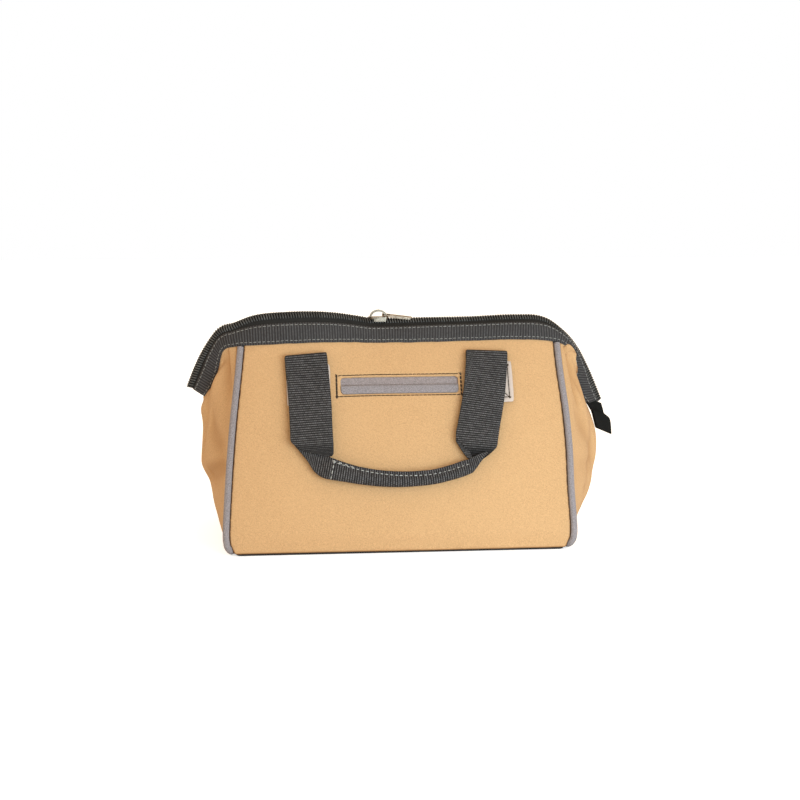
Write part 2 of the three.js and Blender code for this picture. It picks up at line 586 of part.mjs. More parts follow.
// The sewn end of a strap, from its foot up to the fold. Facing is the way the strap's width runs along X.
function sewnLoops(side, x, facing) {
  const { width, sewnFoot, foldZ, sewnLift, hangLift, sewnSteps, foldSteps } = HANDLE;
  const loops = [];
  for (let i = 0; i <= sewnSteps; i += 1) {
    const z = lerp(sewnFoot, foldZ, i / sewnSteps);
    const edge = (lift) => STRAP_STOPS.map((stop) => liftedPoint(side, x + facing * stop * width / 2, z, lift));
    loops.push([...edge(sewnLift - WEB_THICK / 2), ...edge(sewnLift + WEB_THICK / 2).reverse()]);
  }
  const { up, normal } = panelFrame(side, x, foldZ);
  const radius = (hangLift - sewnLift) / 2;
  for (let i = 1; i < foldSteps; i += 1) {
    const angle = (i / foldSteps) * Math.PI;
    const out = up.clone().multiplyScalar(Math.sin(angle)).addScaledVector(normal, -Math.cos(angle));
    const middle = liftedPoint(side, x, foldZ, sewnLift + radius).addScaledVector(out, radius);
    loops.push(strapLoop(middle, vec(facing, 0, 0), out, width, WEB_THICK, 0));
  }
  return loops;
}

// A handle is one length of webbing: sewn to the panel, folded over, hanging, and folded lengthwise as a grip.
function handleGeometry(side) {
  const hanging = HANDLE_RUN.map((row) => {
    const { up, normal } = panelFrame(side, row.x, row.z);
    const turn = degToRad(row.turn);
    const across = vec(Math.cos(turn), 0, 0).addScaledVector(up, Math.sin(turn)).normalize();
    return strapLoop(liftedPoint(side, row.x, row.z, row.lift), across, normal, row.width, row.thick, row.round);
  });
  return loft([...sewnLoops(side, HANDLE.leftX, 1), ...hanging, ...sewnLoops(side, HANDLE.rightX, -1).reverse()]);
}

function patchGeometry(side, middle) {
  const { width, footZ, topZ, lift, thick, steps } = PATCH;
  return panelSlab(side, middle - width / 2, middle + width / 2, footZ, topZ, lift, lift + thick, steps, steps);
}

// The slider: two plates joined by a post between the coils, flanges down its sides and a bridge on top.
function sliderGeometry() {
  const { length, width, plate, topZ, footZ, footWidth, corner } = SLIDER;
  const { railStart, railEnd, railDrop, postLength, postWidth } = SLIDER;
  const sink = 0.4; // how far joined shapes run into each other
  const flat = (wide, z) => {
    const shape = roundedRectangle(-length / 2, -wide / 2, length / 2, wide / 2, corner);
    const made = new THREE.ExtrudeGeometry(shape, { depth: plate, bevelEnabled: false, curveSegments: 3 });
    return toManifold(made.translate(0, 0, z));
  };
  const block = (fromX, toX, fromY, toY, fromZ, toZ) => {
    const made = new THREE.BoxGeometry(toX - fromX, toY - fromY, toZ - fromZ);
    return toManifold(made.translate((fromX + toX) / 2, (fromY + toY) / 2, (fromZ + toZ) / 2));
  };
  const postX = 0.8 - length / 2;
  const post = block(postX, postX + postLength, -postWidth / 2, postWidth / 2, footZ + plate - sink, topZ + sink);
  const rail = (fromY) => block(railStart, railEnd, fromY, fromY + plate, topZ - railDrop, topZ + sink);
  return fromManifold(flat(width, topZ)
    .add(flat(footWidth, footZ))
    .add(post)
    .add(rail(-width / 2))
    .add(rail(width / 2 - plate))
    .add(bridgeManifold(topZ + plate - sink)));
}

// The bridge is a half ellipse of flat strip, standing along the slider.
function bridgeManifold(footZ) {
  const { length, height, thick, width, steps } = BRIDGE;
  const shape = new THREE.Shape();
  const ring = (a, b, from, to) => Array.from({ length: steps + 1 }, (_, i) => {
    const angle = lerp(from, to, i / steps);
    return new THREE.Vector2(a * Math.cos(angle), b * Math.sin(angle));
  });
  const outer = ring(length / 2, height, 0, Math.PI);
  const inner = ring(length / 2 - thick, height - thick, Math.PI, 0);
  shape.setFromPoints([...outer, ...inner]);
  const strip = new THREE.ExtrudeGeometry(shape, { depth: width, bevelEnabled: false });
  strip.rotateX(Math.PI / 2).translate(0, width / 2, footZ);
  return toManifold(strip);
}

// The pull is a flat tab with an eye round the bridge, modelled about its pivot and pointing along +X.
function pullGeometry() {
  const { length, width, thick, eyeLength, eyeWidth, bar, slotStart, slotEnd, slotWidth } = PULL;
  const shape = roundedRectangle(-bar, -width / 2, length, width / 2, 1.5);
  shape.holes.push(roundedRectangle(bar, -eyeWidth / 2, bar + eyeLength, eyeWidth / 2, 0.6));
  shape.holes.push(roundedRectangle(slotStart, -slotWidth / 2, slotEnd, slotWidth / 2, 0.7));
  const tab = new THREE.ExtrudeGeometry(shape, { depth: thick, bevelEnabled: false, curveSegments: 3 });
  return tab.translate(0, 0, -thick / 2);
}

function tailGeometry() {
  const lean = degToRad(TAIL_LEAN);
  return loft(TAIL.map((row, i) => {
    const centre = vec(row.x, row.y, row.z);
    const before = TAIL[Math.max(i - 1, 0)];
    const after = TAIL[Math.min(i + 1, TAIL.length - 1)];
    const along = vec(after.x - before.x, after.y - before.y, after.z - before.z).normalize();
    const turn = degToRad(row.turn);
    const across = vec(Math.cos(turn) * Math.cos(lean), Math.sin(turn), Math.cos(turn) * Math.sin(lean));
    across.addScaledVector(along, -across.dot(along) * (i === 0 ? 1 : 0)).normalize();
    return strapLoop(centre, across, along.cross(across).normalize(), row.width, row.thick, 0);
  }));
}

// The assembly
const bag = new THREE.Group();

function addPiece(name, geometry, material, parent = bag) {
  const mesh = new THREE.Mesh(geometry, material);
  mesh.name = name;
  parent.add(mesh);
}

const material = {
  canvas: fabric(COLOUR.canvas), gusset: fabric(COLOUR.canvasDark), piping: fabric(COLOUR.piping),
  webbing: fabric(COLOUR.webbing), band: fabric(COLOUR.band), zip: fabric(COLOUR.zip), base: fabric(COLOUR.base),
  patch: fabric(COLOUR.patch), pouch: fabric(COLOUR.pouch), nickel: metal(COLOUR.nickel),
};

addPiece('base_panel', baseGeometry(), material.base);
addPiece('front_panel', frontPanelGeometry(), material.canvas);
addPiece('back_panel', panelGeometry(BACK), material.canvas);
addPiece('pocket_lip', lipGeometry(), material.piping);
addPiece('pocket_pouch', pouchGeometry(), material.pouch);
addPiece('zip_tail', tailGeometry(), material.zip);

for (const [word, end] of [['left', LEFT], ['right', RIGHT]]) {
  addPiece(`${word}_gusset`, gussetGeometry(end), material.gusset);
  addPiece(`${word}_piping`, pipingGeometry(end), material.piping);
}

for (const [word, side] of [['front', FRONT], ['back', BACK]]) {
  addPiece(`${word}_band`, bandGeometry(side), material.band);
  addPiece(`${word}_zip_tape`, zipGeometry(side), material.zip);
  addPiece(`${word}_handle`, handleGeometry(side), material.webbing);
  addPiece(`${word}_left_patch`, patchGeometry(side, PATCH.leftX), material.patch);
  addPiece(`${word}_right_patch`, patchGeometry(side, PATCH.rightX), material.patch);
}

// The slider rides on the coils, and the pull hangs from the slider's bridge.
const sliderGroup = new THREE.Group();
sliderGroup.position.set(SLIDER.x, 0, mouthAt(FRONT, SLIDER.x).coil.z);
bag.add(sliderGroup);
addPiece('zip_slider', sliderGeometry(), material.nickel, sliderGroup);

const pullGroup = new THREE.Group();
pullGroup.position.set(PULL.pivotX, 0, SLIDER.topZ + SLIDER.plate + PULL.pivotZ);
pullGroup.rotation.y = degToRad(PULL.droop);
sliderGroup.add(pullGroup);
addPiece('zip_pull', pullGeometry(), material.nickel, pullGroup);

export default bag;
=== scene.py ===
"""Dresses a small gate-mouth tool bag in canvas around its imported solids.

The tables follow the part's own sizes in millimetres, with small changes for the look, and every mesh is
written in metres.
"""

import math

import bmesh
import bpy
import numpy as np
from bpy.props import FloatProperty, FloatVectorProperty, PointerProperty
from mathutils import Matrix, Vector, noise


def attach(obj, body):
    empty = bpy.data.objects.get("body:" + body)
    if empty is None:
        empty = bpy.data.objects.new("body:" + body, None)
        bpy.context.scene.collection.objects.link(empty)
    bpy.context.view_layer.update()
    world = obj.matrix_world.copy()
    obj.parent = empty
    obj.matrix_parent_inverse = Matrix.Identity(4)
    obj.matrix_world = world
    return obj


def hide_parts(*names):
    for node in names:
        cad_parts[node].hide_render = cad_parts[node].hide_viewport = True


bl_info = {
    "name": "Canvas Tool Bag",
    "version": (1, 0, 0),
    "blender": (4, 5, 0),
    "location": "View3D > Sidebar > Tool Bag",
    "description": "Builds the cloth, webbing, zip and stitching of a gate-mouth tool bag",
    "category": "Object",
}

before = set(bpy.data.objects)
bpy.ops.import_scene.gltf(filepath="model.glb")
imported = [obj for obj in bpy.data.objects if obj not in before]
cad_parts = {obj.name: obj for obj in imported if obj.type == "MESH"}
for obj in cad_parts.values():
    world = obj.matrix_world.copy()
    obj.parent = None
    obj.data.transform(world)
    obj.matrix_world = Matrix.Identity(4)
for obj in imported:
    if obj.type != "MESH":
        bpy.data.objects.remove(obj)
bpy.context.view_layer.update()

MM = 0.001
FRONT, BACK = -1, 1
LEFT, RIGHT = -1, 1
SIDES = (("front", FRONT), ("back", BACK))
ENDS = (("left", LEFT), ("right", RIGHT))


def lerp(a, b, t):
    return a + (b - a) * t


def clamp(value, low=0.0, high=1.0):
    return min(max(value, low), high)


def smoothstep(value, low, high):
    t = clamp((value - low) / (high - low))
    return t * t * (3 - 2 * t)


def hill(off, reach, height=1.0):
    """A smooth hill over a distance from its middle."""
    return height * math.exp(-((off / reach) ** 2))


class Table:
    """Rows of numbers keyed by their first column, read on a cubic through the neighbouring rows."""

    def __init__(self, *rows):
        self.rows = rows
        last = len(rows) - 1
        self.slopes = []
        for k in range(len(rows)):
            before = rows[max(k - 1, 0)]
            after = rows[min(k + 1, last)]
            run = after[0] - before[0]
            self.slopes.append([(b - a) / run for a, b in zip(before, after)])

    def at(self, place):
        rows = self.rows
        i = 0
        while i < len(rows) - 2 and place > rows[i + 1][0]:
            i += 1
        span = rows[i + 1][0] - rows[i][0]
        t = clamp((place - rows[i][0]) / span)
        ease = t * t * (3 - 2 * t)
        start = t * (1 - t) ** 2 * span
        end = t * t * (1 - t) * span
        columns = zip(rows[i], rows[i + 1], self.slopes[i], self.slopes[i + 1])
        return [a + (b - a) * ease + s * start - e * end for a, b, s, e in columns]


# Sizes shared by several pieces
SEWN_GAP = 0.35
CANVAS_THICK = 1.6
WEB_THICK = 1.8
PIPING_RADIUS = 2.9
PIPING_TURN = 9
PIPING_BASE_X = 150.8
PIPING_BASE_Z = 3.2
PIPING_END = 0.55
PANEL_FOOT = 2.1
FOOT_ROLL = 1.5
SEAM_TRIM = PIPING_RADIUS + SEWN_GAP
BAND_OVERRUN = 6
BAND_HEM = 2.2
BAND_PINCH = 7
PINCH_Z = 135
PINCH_UP = 12
PINCH_DOWN = 7
BASE_INSET = (0.997, 0.985)
BAND_SHARE = (0.6, 0.655)
BAND_RISE = (-20, 60)
BAND_LEAN = 0.28
BAND_WAVES = ((0.45, 17, 3), (0.25, 7, 5))
RIB_STEPS = 5

# Height, half length between the seams, slump along X, half depth, belly of the panels
BODY = Table(
    (2, 151, 0, 90.6, 0),
    (12, 155, 0, 92.4, 0.6),
    (22, 155.5, 0, 91.6, 1.5),
    (55, 154.3, 0.7, 80, 3.6),
    (88, 153.7, 2.5, 66.3, 4.2),
    (120, 151.9, 3.8, 52.7, 3.8),
    (155, 148.7, 4.8, 37.3, 2.3),
    (184, 146.8, 5.9, 24.5, 0),
)

# Foot of the band (X, Z, distance from the middle) and the zip's coil (X, Z, distance), from left to right
MOUTH = Table(
    (-175, 131.5, 5.6, -190, 141, 1.4),
    (-165, 149, 10.5, -182.4, 160, 4.2),
    (-161, 164.5, 14.5, -174.5, 175, 7.5),
    (-157, 176, 20, -163, 191.2, 12.5),
    (-146, 180.2, 26, -149, 198.3, 18.5),
    (-127, 181.8, 30, -128, 206.3, 22.5),
    (-97, 183.2, 31, -98, 209.1, 23.5),
    (-67, 183.5, 27, -68, 208.6, 17.5),
    (-43.5, 182.8, 21, -44, 205.5, 9.5),
    (-23.5, 181.8, 17.5, -23.5, 201, 3.2),
    (-11.5, 181.6, 16.4, -11.5, 200.5, 1.1),
    (28.5, 181.7, 16, 29.5, 201, 1.1),
    (71, 182.6, 16, 72, 201.5, 1.1),
    (115, 183.4, 16, 117, 203.1, 1.1),
    (144, 181.8, 14.5, 143.5, 200.2, 1.1),
    (159, 178, 13, 163, 186.1, 1.1),
    (167.5, 168.5, 11.5, 175.4, 170.6, 1.1),
    (172.5, 154.5, 9, 184.9, 152.7, 1.1),
    (175.5, 140, 7, 190.9, 139.7, 1.1),
    (182, 126, 5.2, 195.6, 128.7, 1.1),
)

# How the open length of the back rim leans out, and where it starts and ends
FLOP_START = (-164, -132)
FLOP_END = (-62, -26)
FLOP_OUT = 3.5
FLOP_DOWN = 5

# How far each gusset bulges at its middle, by share of its height
BULGE = {
    LEFT: Table(
        (0, 156.2), (0.05, 161.5), (0.1, 164.4), (0.15, 166.4), (0.2, 168.2), (0.27, 170.2), (0.33, 171.8),
        (0.37, 173.3), (0.41, 175.8), (0.456, 178.4), (0.5, 179.8), (0.55, 179.6), (0.635, 178.9),
        (0.73, 178.2), (0.82, 178), (0.93, 180), (1, 176),
    ),
    RIGHT: Table(
        (0, 153.5), (0.04, 158), (0.08, 165), (0.13, 172.5), (0.28, 185.5), (0.4, 190),
        (0.54, 193), (0.76, 194.5), (0.92, 192), (1, 184),
    ),
}
GUSSET_FOOT = 6.6
GUSSET_TRIM = SEAM_TRIM + 0.5
GUSSET_TOP_GAP = 0.3
GUSSET_FULLNESS = 2.4
GUSSET_TIP = 0.12
GUSSET_GATHER = 0.5
# Painted shade in the gussets' creases: its strength at each end, how close to the seams it stops, and over
# which crease depths it grows.
CREASE_SHADE = {LEFT: 0.16, RIGHT: 0.17}
CREASE_EDGE = (0.72, 0.92)
CREASE_DEPTH = (0.4, 4)
FOLD_FADE = ((0, 0.1), (0.92, 1), (0.8, 1))
GUSSET_ROW_POWER = 1.1
GUSSET_WAVES = ((1.2, 34, 6), (0.5, 13, 9))
GUSSET_SINK = 0.5
GUSSET_SLACK = ((0, 0.12), (0.85, 1))
GUSSET_SLACK_SEAM = 12
# Reach and height of the painted shade by the gussets' seams.
GUSSET_SHADE = (0.6, 0.6)

# The pleat at the right shoulder: how far it laps and stands out, between which U and V, and which way
FLAP_LAP = 3.6
FLAP_PROUD = 2.4
FLAP_LAPPED = ((-0.86, -0.7), (-0.26, -0.14))
FLAP_RAISED = ((-0.76, -0.6), (-0.32, -0.22))
FLAP_LOW = (-0.54, -0.46)
FLAP_LAP_RISE = (0.88, 1)
FLAP_PROUD_RISE = (0.55, 0.95)
FLAP_LAP_WAY = Vector((0.92, 0, 0.38))
FLAP_PROUD_WAY = Vector((0.2, -0.98, 0))

# Creases of the gussets: end, from U V, to U V, depth and reach
FOLDS = (
    (LEFT, -1, 0.42, -0.2, 0.4, 4.5, 0.07),
    (LEFT, -0.9, 0.66, -0.45, 0.95, 2.5, 0.09),
    (LEFT, 0.25, 0.36, 1, 0.5, 4, 0.08),
    (LEFT, 0.05, 0.12, 0.1, 0.75, 3, 0.1),
    (RIGHT, -1, 0.36, -0.35, 0.5, 3.5, 0.08),
    (RIGHT, -0.72, 0.74, -0.6, 0.98, 4, 0.09),
    (RIGHT, 0.2, 0.45, 1, 0.34, 4, 0.08),
    (RIGHT, 0, 0.14, -0.05, 0.7, 3, 0.1),
)

# How the canvas turns in behind the piping: distance past its edge, depth
TUCK = ((0, 0.5), (0.3, 1.2), (1.05, 2.3), (2.05, 3.0))
TUCK_REACH = 0.9

# Finer creases that only the cloth has, in the same columns
FINE_FOLDS = (
    (LEFT, -0.95, 0.52, -0.55, 0.6, 0.9, 0.035),
    (LEFT, -0.98, 0.3, -0.5, 0.34, 0.8, 0.04),
    (LEFT, -0.7, 0.8, -0.62, 0.98, 1.8, 0.04),
    (LEFT, -0.3, 0.55, -0.36, 0.9, 1.8, 0.06),
    (LEFT, 0.4, 0.6, 0.8, 0.75, 1.0, 0.05),
    (RIGHT, -0.98, 0.5, -0.6, 0.62, 0.9, 0.035),
    (RIGHT, -0.95, 0.24, -0.5, 0.3, 0.7, 0.04),
    (RIGHT, -0.7, 0.7, -0.72, 0.98, 3.2, 0.035),
    (RIGHT, 0.4, 0.7, 0.85, 0.62, 1.0, 0.05),
    (RIGHT, -0.25, 0.66, 0.25, 0.66, -3.4, 0.12),
    (RIGHT, -0.6, 0.28, -0.4, 0.6, 1.5, 0.06),
    (RIGHT, -0.46, 0.86, -0.4, 0.79, 3, 0.085),
    (RIGHT, -0.63, 0.79, -0.56, 0.755, 4.8, 0.05),
    (RIGHT, -0.8, 0.62, -0.3, 0.52, 2.2, 0.05),
    (LEFT, -0.52, 0.88, -0.85, 0.7, 2.4, 0.04),
    (LEFT, -0.5, 0.92, 0.4, 0.92, -1.8, 0.06),
    (LEFT, -0.5, 0.775, 0.4, 0.775, -3.5, 0.07),
    (LEFT, -0.5, 0.64, -0.9, 0.5, 3, 0.045),
    (LEFT, -0.37, 0.436, -0.92, 0.43, 3, 0.045),
)

# The handle: sewn ends, fold and hanging run
HANDLE_LEFT_X = -82.9
HANDLE_RIGHT_X = 84.4
HANDLE_WIDTH = 38.3
SEWN_FOOT = 130
FOLD_Z = 168.3
SEWN_LIFT = 1.35
HANG_LIFT = 6.6

# X, Z, lift off the panel, turn of the width in degrees, width, thickness, and flat (0) to folded grip (1)
LEFT_STRAP = (
    (-82.7, 164, 6.6, 3, 38.3, 1.8, 0),
    (-80, 129, 6.9, 3, 38.3, 1.8, 0),
    (-79.2, 105, 7.5, 3.5, 38, 1.8, 0),
    (-78.7, 97, 8.1, 3.5, 37.6, 1.8, 0),
    (-76.2, 92.6, 8.4, 3, 33, 1.8, 0),
    (-73.4, 89.2, 8.5, 3, 27.4, 1.8, 0),
    (-69.2, 86.3, 8.6, 3, 18.8, 1.8, 0),
    (-66, 84.4, 8.8, 3, 11.5, 1.8, 0),
    (-63.8, 83, 9.0, 3, 4.5, 1.6, 0),
)
RIGHT_STRAP = (
    (84, 164, 6.6, -5, 38.3, 1.8, 0),
    (78.7, 133, 6.9, -9, 38.3, 1.8, 0),
    (72.4, 108, 7.2, -8, 38.3, 1.8, 0),
    (69.6, 95.5, 7.5, -6, 38.2, 1.8, 0),
    (71.2, 90, 7.4, -6, 32.4, 1.8, 0),
    (71.5, 87, 6.7, -6, 26.6, 1.8, 0),
    (71.4, 84.5, 5.7, -6, 20.8, 1.8, 0),
    (71, 82, 4.9, -6, 15, 1.8, 0),
    (68, 78, 4.3, -6, 9, 1.6, 0),
)
RIGHT_FOLD = (
    (52.2, 98, 5.6, -6, 2.6, 1.4, 0),
    (53.4, 94.2, 5.6, -6, 5.5, 1.6, 0),
    (56.4, 90, 5.6, -6, 7, 1.6, 0),
    (58.8, 86, 5.8, -6, 7, 1.6, 0),
    (61, 82, 6.2, -6, 6, 1.6, 0),
    (62.5, 79, 6.6, -6, 4, 1.6, 0),
)
GRIP_RUN = (
    (-96, 99.5, 5.3, 77, 7, 1.8, 0),
    (-88.2, 92.3, 5.6, 77, 10, 2, 0.05),
    (-81, 85, 6, 77, 13, 2.4, 0.1),
    (-76.1, 78.6, 6.4, 77, 15.6, 3.2, 0.25),
    (-71, 76.4, 7, 77.5, 20.4, 4, 0.5),
    (-66.8, 74.2, 8, 78, 21.4, 6.5, 0.85),
    (-62.2, 72.5, 8.8, 78, 20.6, 8.4, 1),
    (-49.5, 69.2, 8.7, 80, 18, 8.8, 1),
    (-36.9, 66.4, 8.6, 82, 16.6, 9, 1),
    (-19.5, 63.9, 8.5, 86, 15.6, 9, 1),
    (-1.5, 62.8, 8.4, 90, 15, 9, 1),
    (14.5, 63.1, 8.5, 94, 14.4, 9, 1),
    (30, 64.4, 8.6, 98, 14.2, 9, 1),
    (46.5, 67.9, 8.7, 101, 14.4, 9, 1),
    (56.8, 70.8, 8.8, 98, 14.8, 9, 1),
    (58.6, 71.3, 8.8, 97, 14.4, 7.6, 1),
    (60.4, 71.8, 8.9, 97, 14.2, 8.6, 1),
    (63.6, 73.1, 9, 99, 13.4, 7, 0.8),
    (70, 78.2, 9, 112, 7.4, 4.5, 0.4),
    (74.4, 81.6, 8.8, 138, 3.8, 3, 0.1),
    (77.8, 83.4, 8.5, 150, 1.6, 2, 0),
)
LEFT_TILT = 4
RIGHT_TILT = -2.5

# The patches under the handles, the pocket's window, lip, pouch and stitched frame
PATCHES = {"left": (-80.8, 38.9), "right": (86.8, 40)}
PATCH_HEM = 4
PATCH_FOOT = 127.4
PATCH_TOP = 162.8
PATCH_LIFT = 2.6
PATCH_THICK = 1.2
PATCH_ROUND = 0.035
PATCH_FRAY = 0.012
PATCH_STITCH_DIP = (0.9, 0.35)
PATCH_EDGE_DIP = (0.7, 0.4)
# Reach and height of the painted shade along the patches' sewn lines.
PATCH_SHADE = (0.7, 0.7)
WINDOW = (-51.2, 137.2, 57, 151.8)
WINDOW_CORNER = 3.2
LIP_TOP = 144.8
LIP_FACE = 7.2
LIP_FOLD = 0.55
POUCH_MARGIN = 5.5
POUCH_FOOT = 78
POUCH_RIM = 2.0
POUCH_THICK = 1.1
POUCH_SLACK = (5.5, 0.5)
POUCH_SLACK_Z = (95, 132)
POUCH_EASE = (14, 5)
POUCH_EASE_Z = (110, 140)
POCKET_STITCH = (-54.6, 135.3, 59, 153.3)

# The zip's tail: X, Y, Z, turn of the width in degrees, width, thickness
TAIL = (
    (190.2, -3.2, 123.4, 8, 19.6, 3),
    (192.6, -3.6, 117, 8, 18.4, 2.8),
    (194.4, -3.8, 113, 10, 16.6, 2.8),
    (198.2, -4, 108.6, 12, 20, 4.6),
    (201.4, -4.6, 93, 12, 17.6, 4.4),
)
TAIL_LEAN = -24
TAIL_ROUND = 0.94
TAIL_ROUND_RUN = 0.065
TAIL_EDGE = 0.1


class BagSizes(bpy.types.PropertyGroup):
    """Sizes of the cloth, webbing, zip and thread."""

    web_rib: FloatProperty(
        name="Webbing Rib", description="Spacing of the handle webbing's ribs",
        default=0.0021, min=0.001, max=0.005, unit="LENGTH",
    )
    web_rib_height: FloatProperty(
        name="Webbing Rib Height", description="How far the webbing's ribs stand up",
        default=0.0003, min=0, max=0.001, unit="LENGTH",
    )
    band_rib: FloatProperty(
        name="Band Rib", description="Spacing of the ribs across the band round the mouth",
        default=0.0025, min=0.001, max=0.006, unit="LENGTH",
    )
    band_rib_height: FloatProperty(
        name="Band Rib Height", description="How far the band's ribs stand up",
        default=0.00028, min=0, max=0.001, unit="LENGTH",
    )
    coil_pitch: FloatProperty(
        name="Coil Pitch", description="Spacing of the turns of the zip's coil",
        default=0.0024, min=0.001, max=0.004, unit="LENGTH",
    )
    coil_wire: FloatProperty(
        name="Coil Wire", description="Thickness of the zip's coil wire",
        default=0.0012, min=0.0004, max=0.002, unit="LENGTH",
    )
    thread: FloatProperty(
        name="Thread", description="Thickness of the sewing thread",
        default=0.0007, min=0.0002, max=0.0015, unit="LENGTH",
    )
    cloth_thread: FloatProperty(
        name="Canvas Thread", description="Spacing of the canvas's threads",
        default=0.0008, min=0.0003, max=0.003, unit="LENGTH",
    )
    slack: FloatProperty(
        name="Slack", description="Height of the soft waves in the canvas",
        default=0.0006, min=0, max=0.002, unit="LENGTH",
    )


class BagColours(bpy.types.PropertyGroup):
    """Colours of the finishes."""

    canvas: FloatVectorProperty(
        name="Canvas", description="Tan duck canvas", default=(0.62, 0.388, 0.2),
        subtype="COLOR", min=0, max=1,
    )
    piping: FloatVectorProperty(
        name="Piping", description="Grey felt-like tape of the piping and the pocket",
        default=(0.275, 0.25, 0.268), subtype="COLOR", min=0, max=1,
    )
    webbing: FloatVectorProperty(
        name="Webbing", description="Charcoal webbing of the handles", default=(0.038, 0.0365, 0.038),
        subtype="COLOR", min=0, max=1,
    )
    band: FloatVectorProperty(
        name="Band", description="Charcoal ribbed band round the mouth", default=(0.053, 0.051, 0.0535),
        subtype="COLOR", min=0, max=1,
    )
    zip: FloatVectorProperty(
        name="Zip", description="Black zip tape and coil", default=(0.016, 0.016, 0.016),
        subtype="COLOR", min=0, max=1,
    )
    base: FloatVectorProperty(
        name="Base", description="Black coated cloth of the base", default=(0.016, 0.012, 0.0105),
        subtype="COLOR", min=0, max=1,
    )
    patch: FloatVectorProperty(
        name="Patch", description="Off-white leathercloth patches", default=(0.6, 0.5, 0.45),
        subtype="COLOR", min=0, max=1,
    )
    pocket: FloatVectorProperty(
        name="Pocket", description="Grey lining of the pocket", default=(0.3, 0.26, 0.268),
        subtype="COLOR", min=0, max=1,
    )
    nickel: FloatVectorProperty(
        name="Nickel", description="Bright plated slider and pull", default=(0.22, 0.18, 0.143),
        subtype="COLOR", min=0, max=1,
    )
    grey_thread: FloatVectorProperty(
        name="Grey Thread", description="Thread of the band", default=(0.23, 0.23, 0.225),
        subtype="COLOR", min=0, max=1,
    )
    pale_thread: FloatVectorProperty(
        name="Pale Thread", description="Thread of the grips", default=(0.44, 0.44, 0.43),
        subtype="COLOR", min=0, max=1,
    )
    dark_thread: FloatVectorProperty(
        name="Dark Thread", description="Thread of the pocket and the patches", default=(0.045, 0.027, 0.016),
        subtype="COLOR", min=0, max=1,
    )
    # The brown of this thread is also the colour of the painted shade in the canvas's seams and along its
    # foot.
    seam_thread: FloatVectorProperty(
        name="Seam Thread", description="Brown thread beside the piping", default=(0.13, 0.065, 0.03),
        subtype="COLOR", min=0, max=1,
    )


class BagStudio(bpy.types.PropertyGroup):
    """Camera and light."""

    turn: FloatProperty(
        name="Turn", description="How far the camera stands round from the front",
        default=math.radians(-5.37), subtype="ANGLE",
    )
    height: FloatProperty(
        name="Height", description="How far the camera stands above the horizon",
        default=math.radians(8), subtype="ANGLE",
    )
    distance: FloatProperty(
        name="Distance", description="Distance from the camera to its target",
        default=1.3, min=0.5, unit="LENGTH",
    )
    lens: FloatProperty(
        name="Lens", description="Focal length in millimetres", default=65, min=10, unit="CAMERA",
    )
    ambient: FloatProperty(
        name="Ambient", description="Strength of the surroundings' light at the horizon",
        default=1.16, min=0, max=2,
    )
    overhead: FloatProperty(
        name="Overhead", description="How much weaker the surroundings are overhead",
        default=0.34, min=0, max=1,
    )
    warmth: FloatVectorProperty(
        name="Warmth", description="Colour of the surroundings' light", default=(1.0, 0.83, 0.64),
        subtype="COLOR", min=0, max=1,
    )
    key: FloatProperty(
        name="Key", description="Power of the main soft light", default=6.1, min=0, subtype="POWER",
    )
    key_colour: FloatVectorProperty(
        name="Key Colour", description="Colour of the main soft light", default=(0.66, 0.88, 1.0),
        subtype="COLOR", min=0, max=1,
    )


class BagSettings(bpy.types.PropertyGroup):
    """Everything that a user would change."""

    sizes: PointerProperty(type=BagSizes, name="Sizes", description="Sizes of cloth, zip and thread")
    colours: PointerProperty(type=BagColours, name="Colours", description="Colours of the finishes")
    studio: PointerProperty(type=BagStudio, name="Studio", description="Camera and light")


def sizes():
    return bpy.context.scene.tool_bag.sizes


def tint(name, shade=1.0, warm=0.0):
    """A colour of the settings, made darker or lighter by a factor, and warmer."""
    red, green, blue = getattr(bpy.context.scene.tool_bag.colours, name)
    green *= 1 - warm / 2
    blue *= 1 - warm
    return (min(red * shade, 1), min(green * shade, 1), min(blue * shade, 1), 1)


# Places on the bag, in millimetres
def mouth_at(side, foot_x):
    """The foot of the band, its top edge and the zip's coil at one place on the mouth."""
    _, foot_z, foot_y, coil_x, coil_z, coil_y = MOUTH.at(foot_x)
    if side == BACK:
        flop = smoothstep(foot_x, *FLOP_START) * (1 - smoothstep(foot_x, *FLOP_END))
        coil_y += FLOP_OUT * flop
        coil_z -= FLOP_DOWN * flop
    foot = Vector((foot_x, side * foot_y, foot_z))
    coil = Vector((coil_x, side * coil_y, coil_z))
    top = foot.lerp(coil, lerp(*BAND_SHARE, smoothstep(foot_x, *BAND_RISE)))
    top.y = lerp(foot.y, coil.y, BAND_LEAN)
    return foot, top, coil


def pinch_at(side, foot):
    """How much further down the band laps just below the right shoulder's pleat."""
    if side == BACK or foot[0] < 0:
        return 0
    above = foot[2] - PINCH_Z
    return BAND_PINCH * hill(above, PINCH_UP if above > 0 else PINCH_DOWN)


def on_panel(side, x, z):
    """A place on the outer face of a leaning panel."""
    foot = mouth_at(side, x)[0]
    _, half_width, shift, half_depth, belly = BODY.at(z)
    low = BODY.rows[0][0]
    climb = clamp((z - low) / (foot.z - low))
    pull = abs(foot.y) - BODY.at(foot.z)[3]
    middle = 1 - min(abs(x - shift) / half_width, 1) ** 2
    return Vector((x, side * (half_depth + belly * middle + pull * climb**2), z))


def panel_frame(side, x, z):
    """A place on a panel with its directions along the bag, up the panel and outwards."""
    point = on_panel(side, x, z)
    across = (on_panel(side, x + 1, z) - on_panel(side, x - 1, z)).normalized()
    up = (on_panel(side, x, z + 1) - on_panel(side, x, z - 1)).normalized()
    normal = across.cross(up).normalized()
    if normal.y * side < 0:
        normal.negate()
    return point, across, up, normal


def lifted(side, x, z, lift):
    point, _, _, normal = panel_frame(side, x, z)
    return point + normal * lift


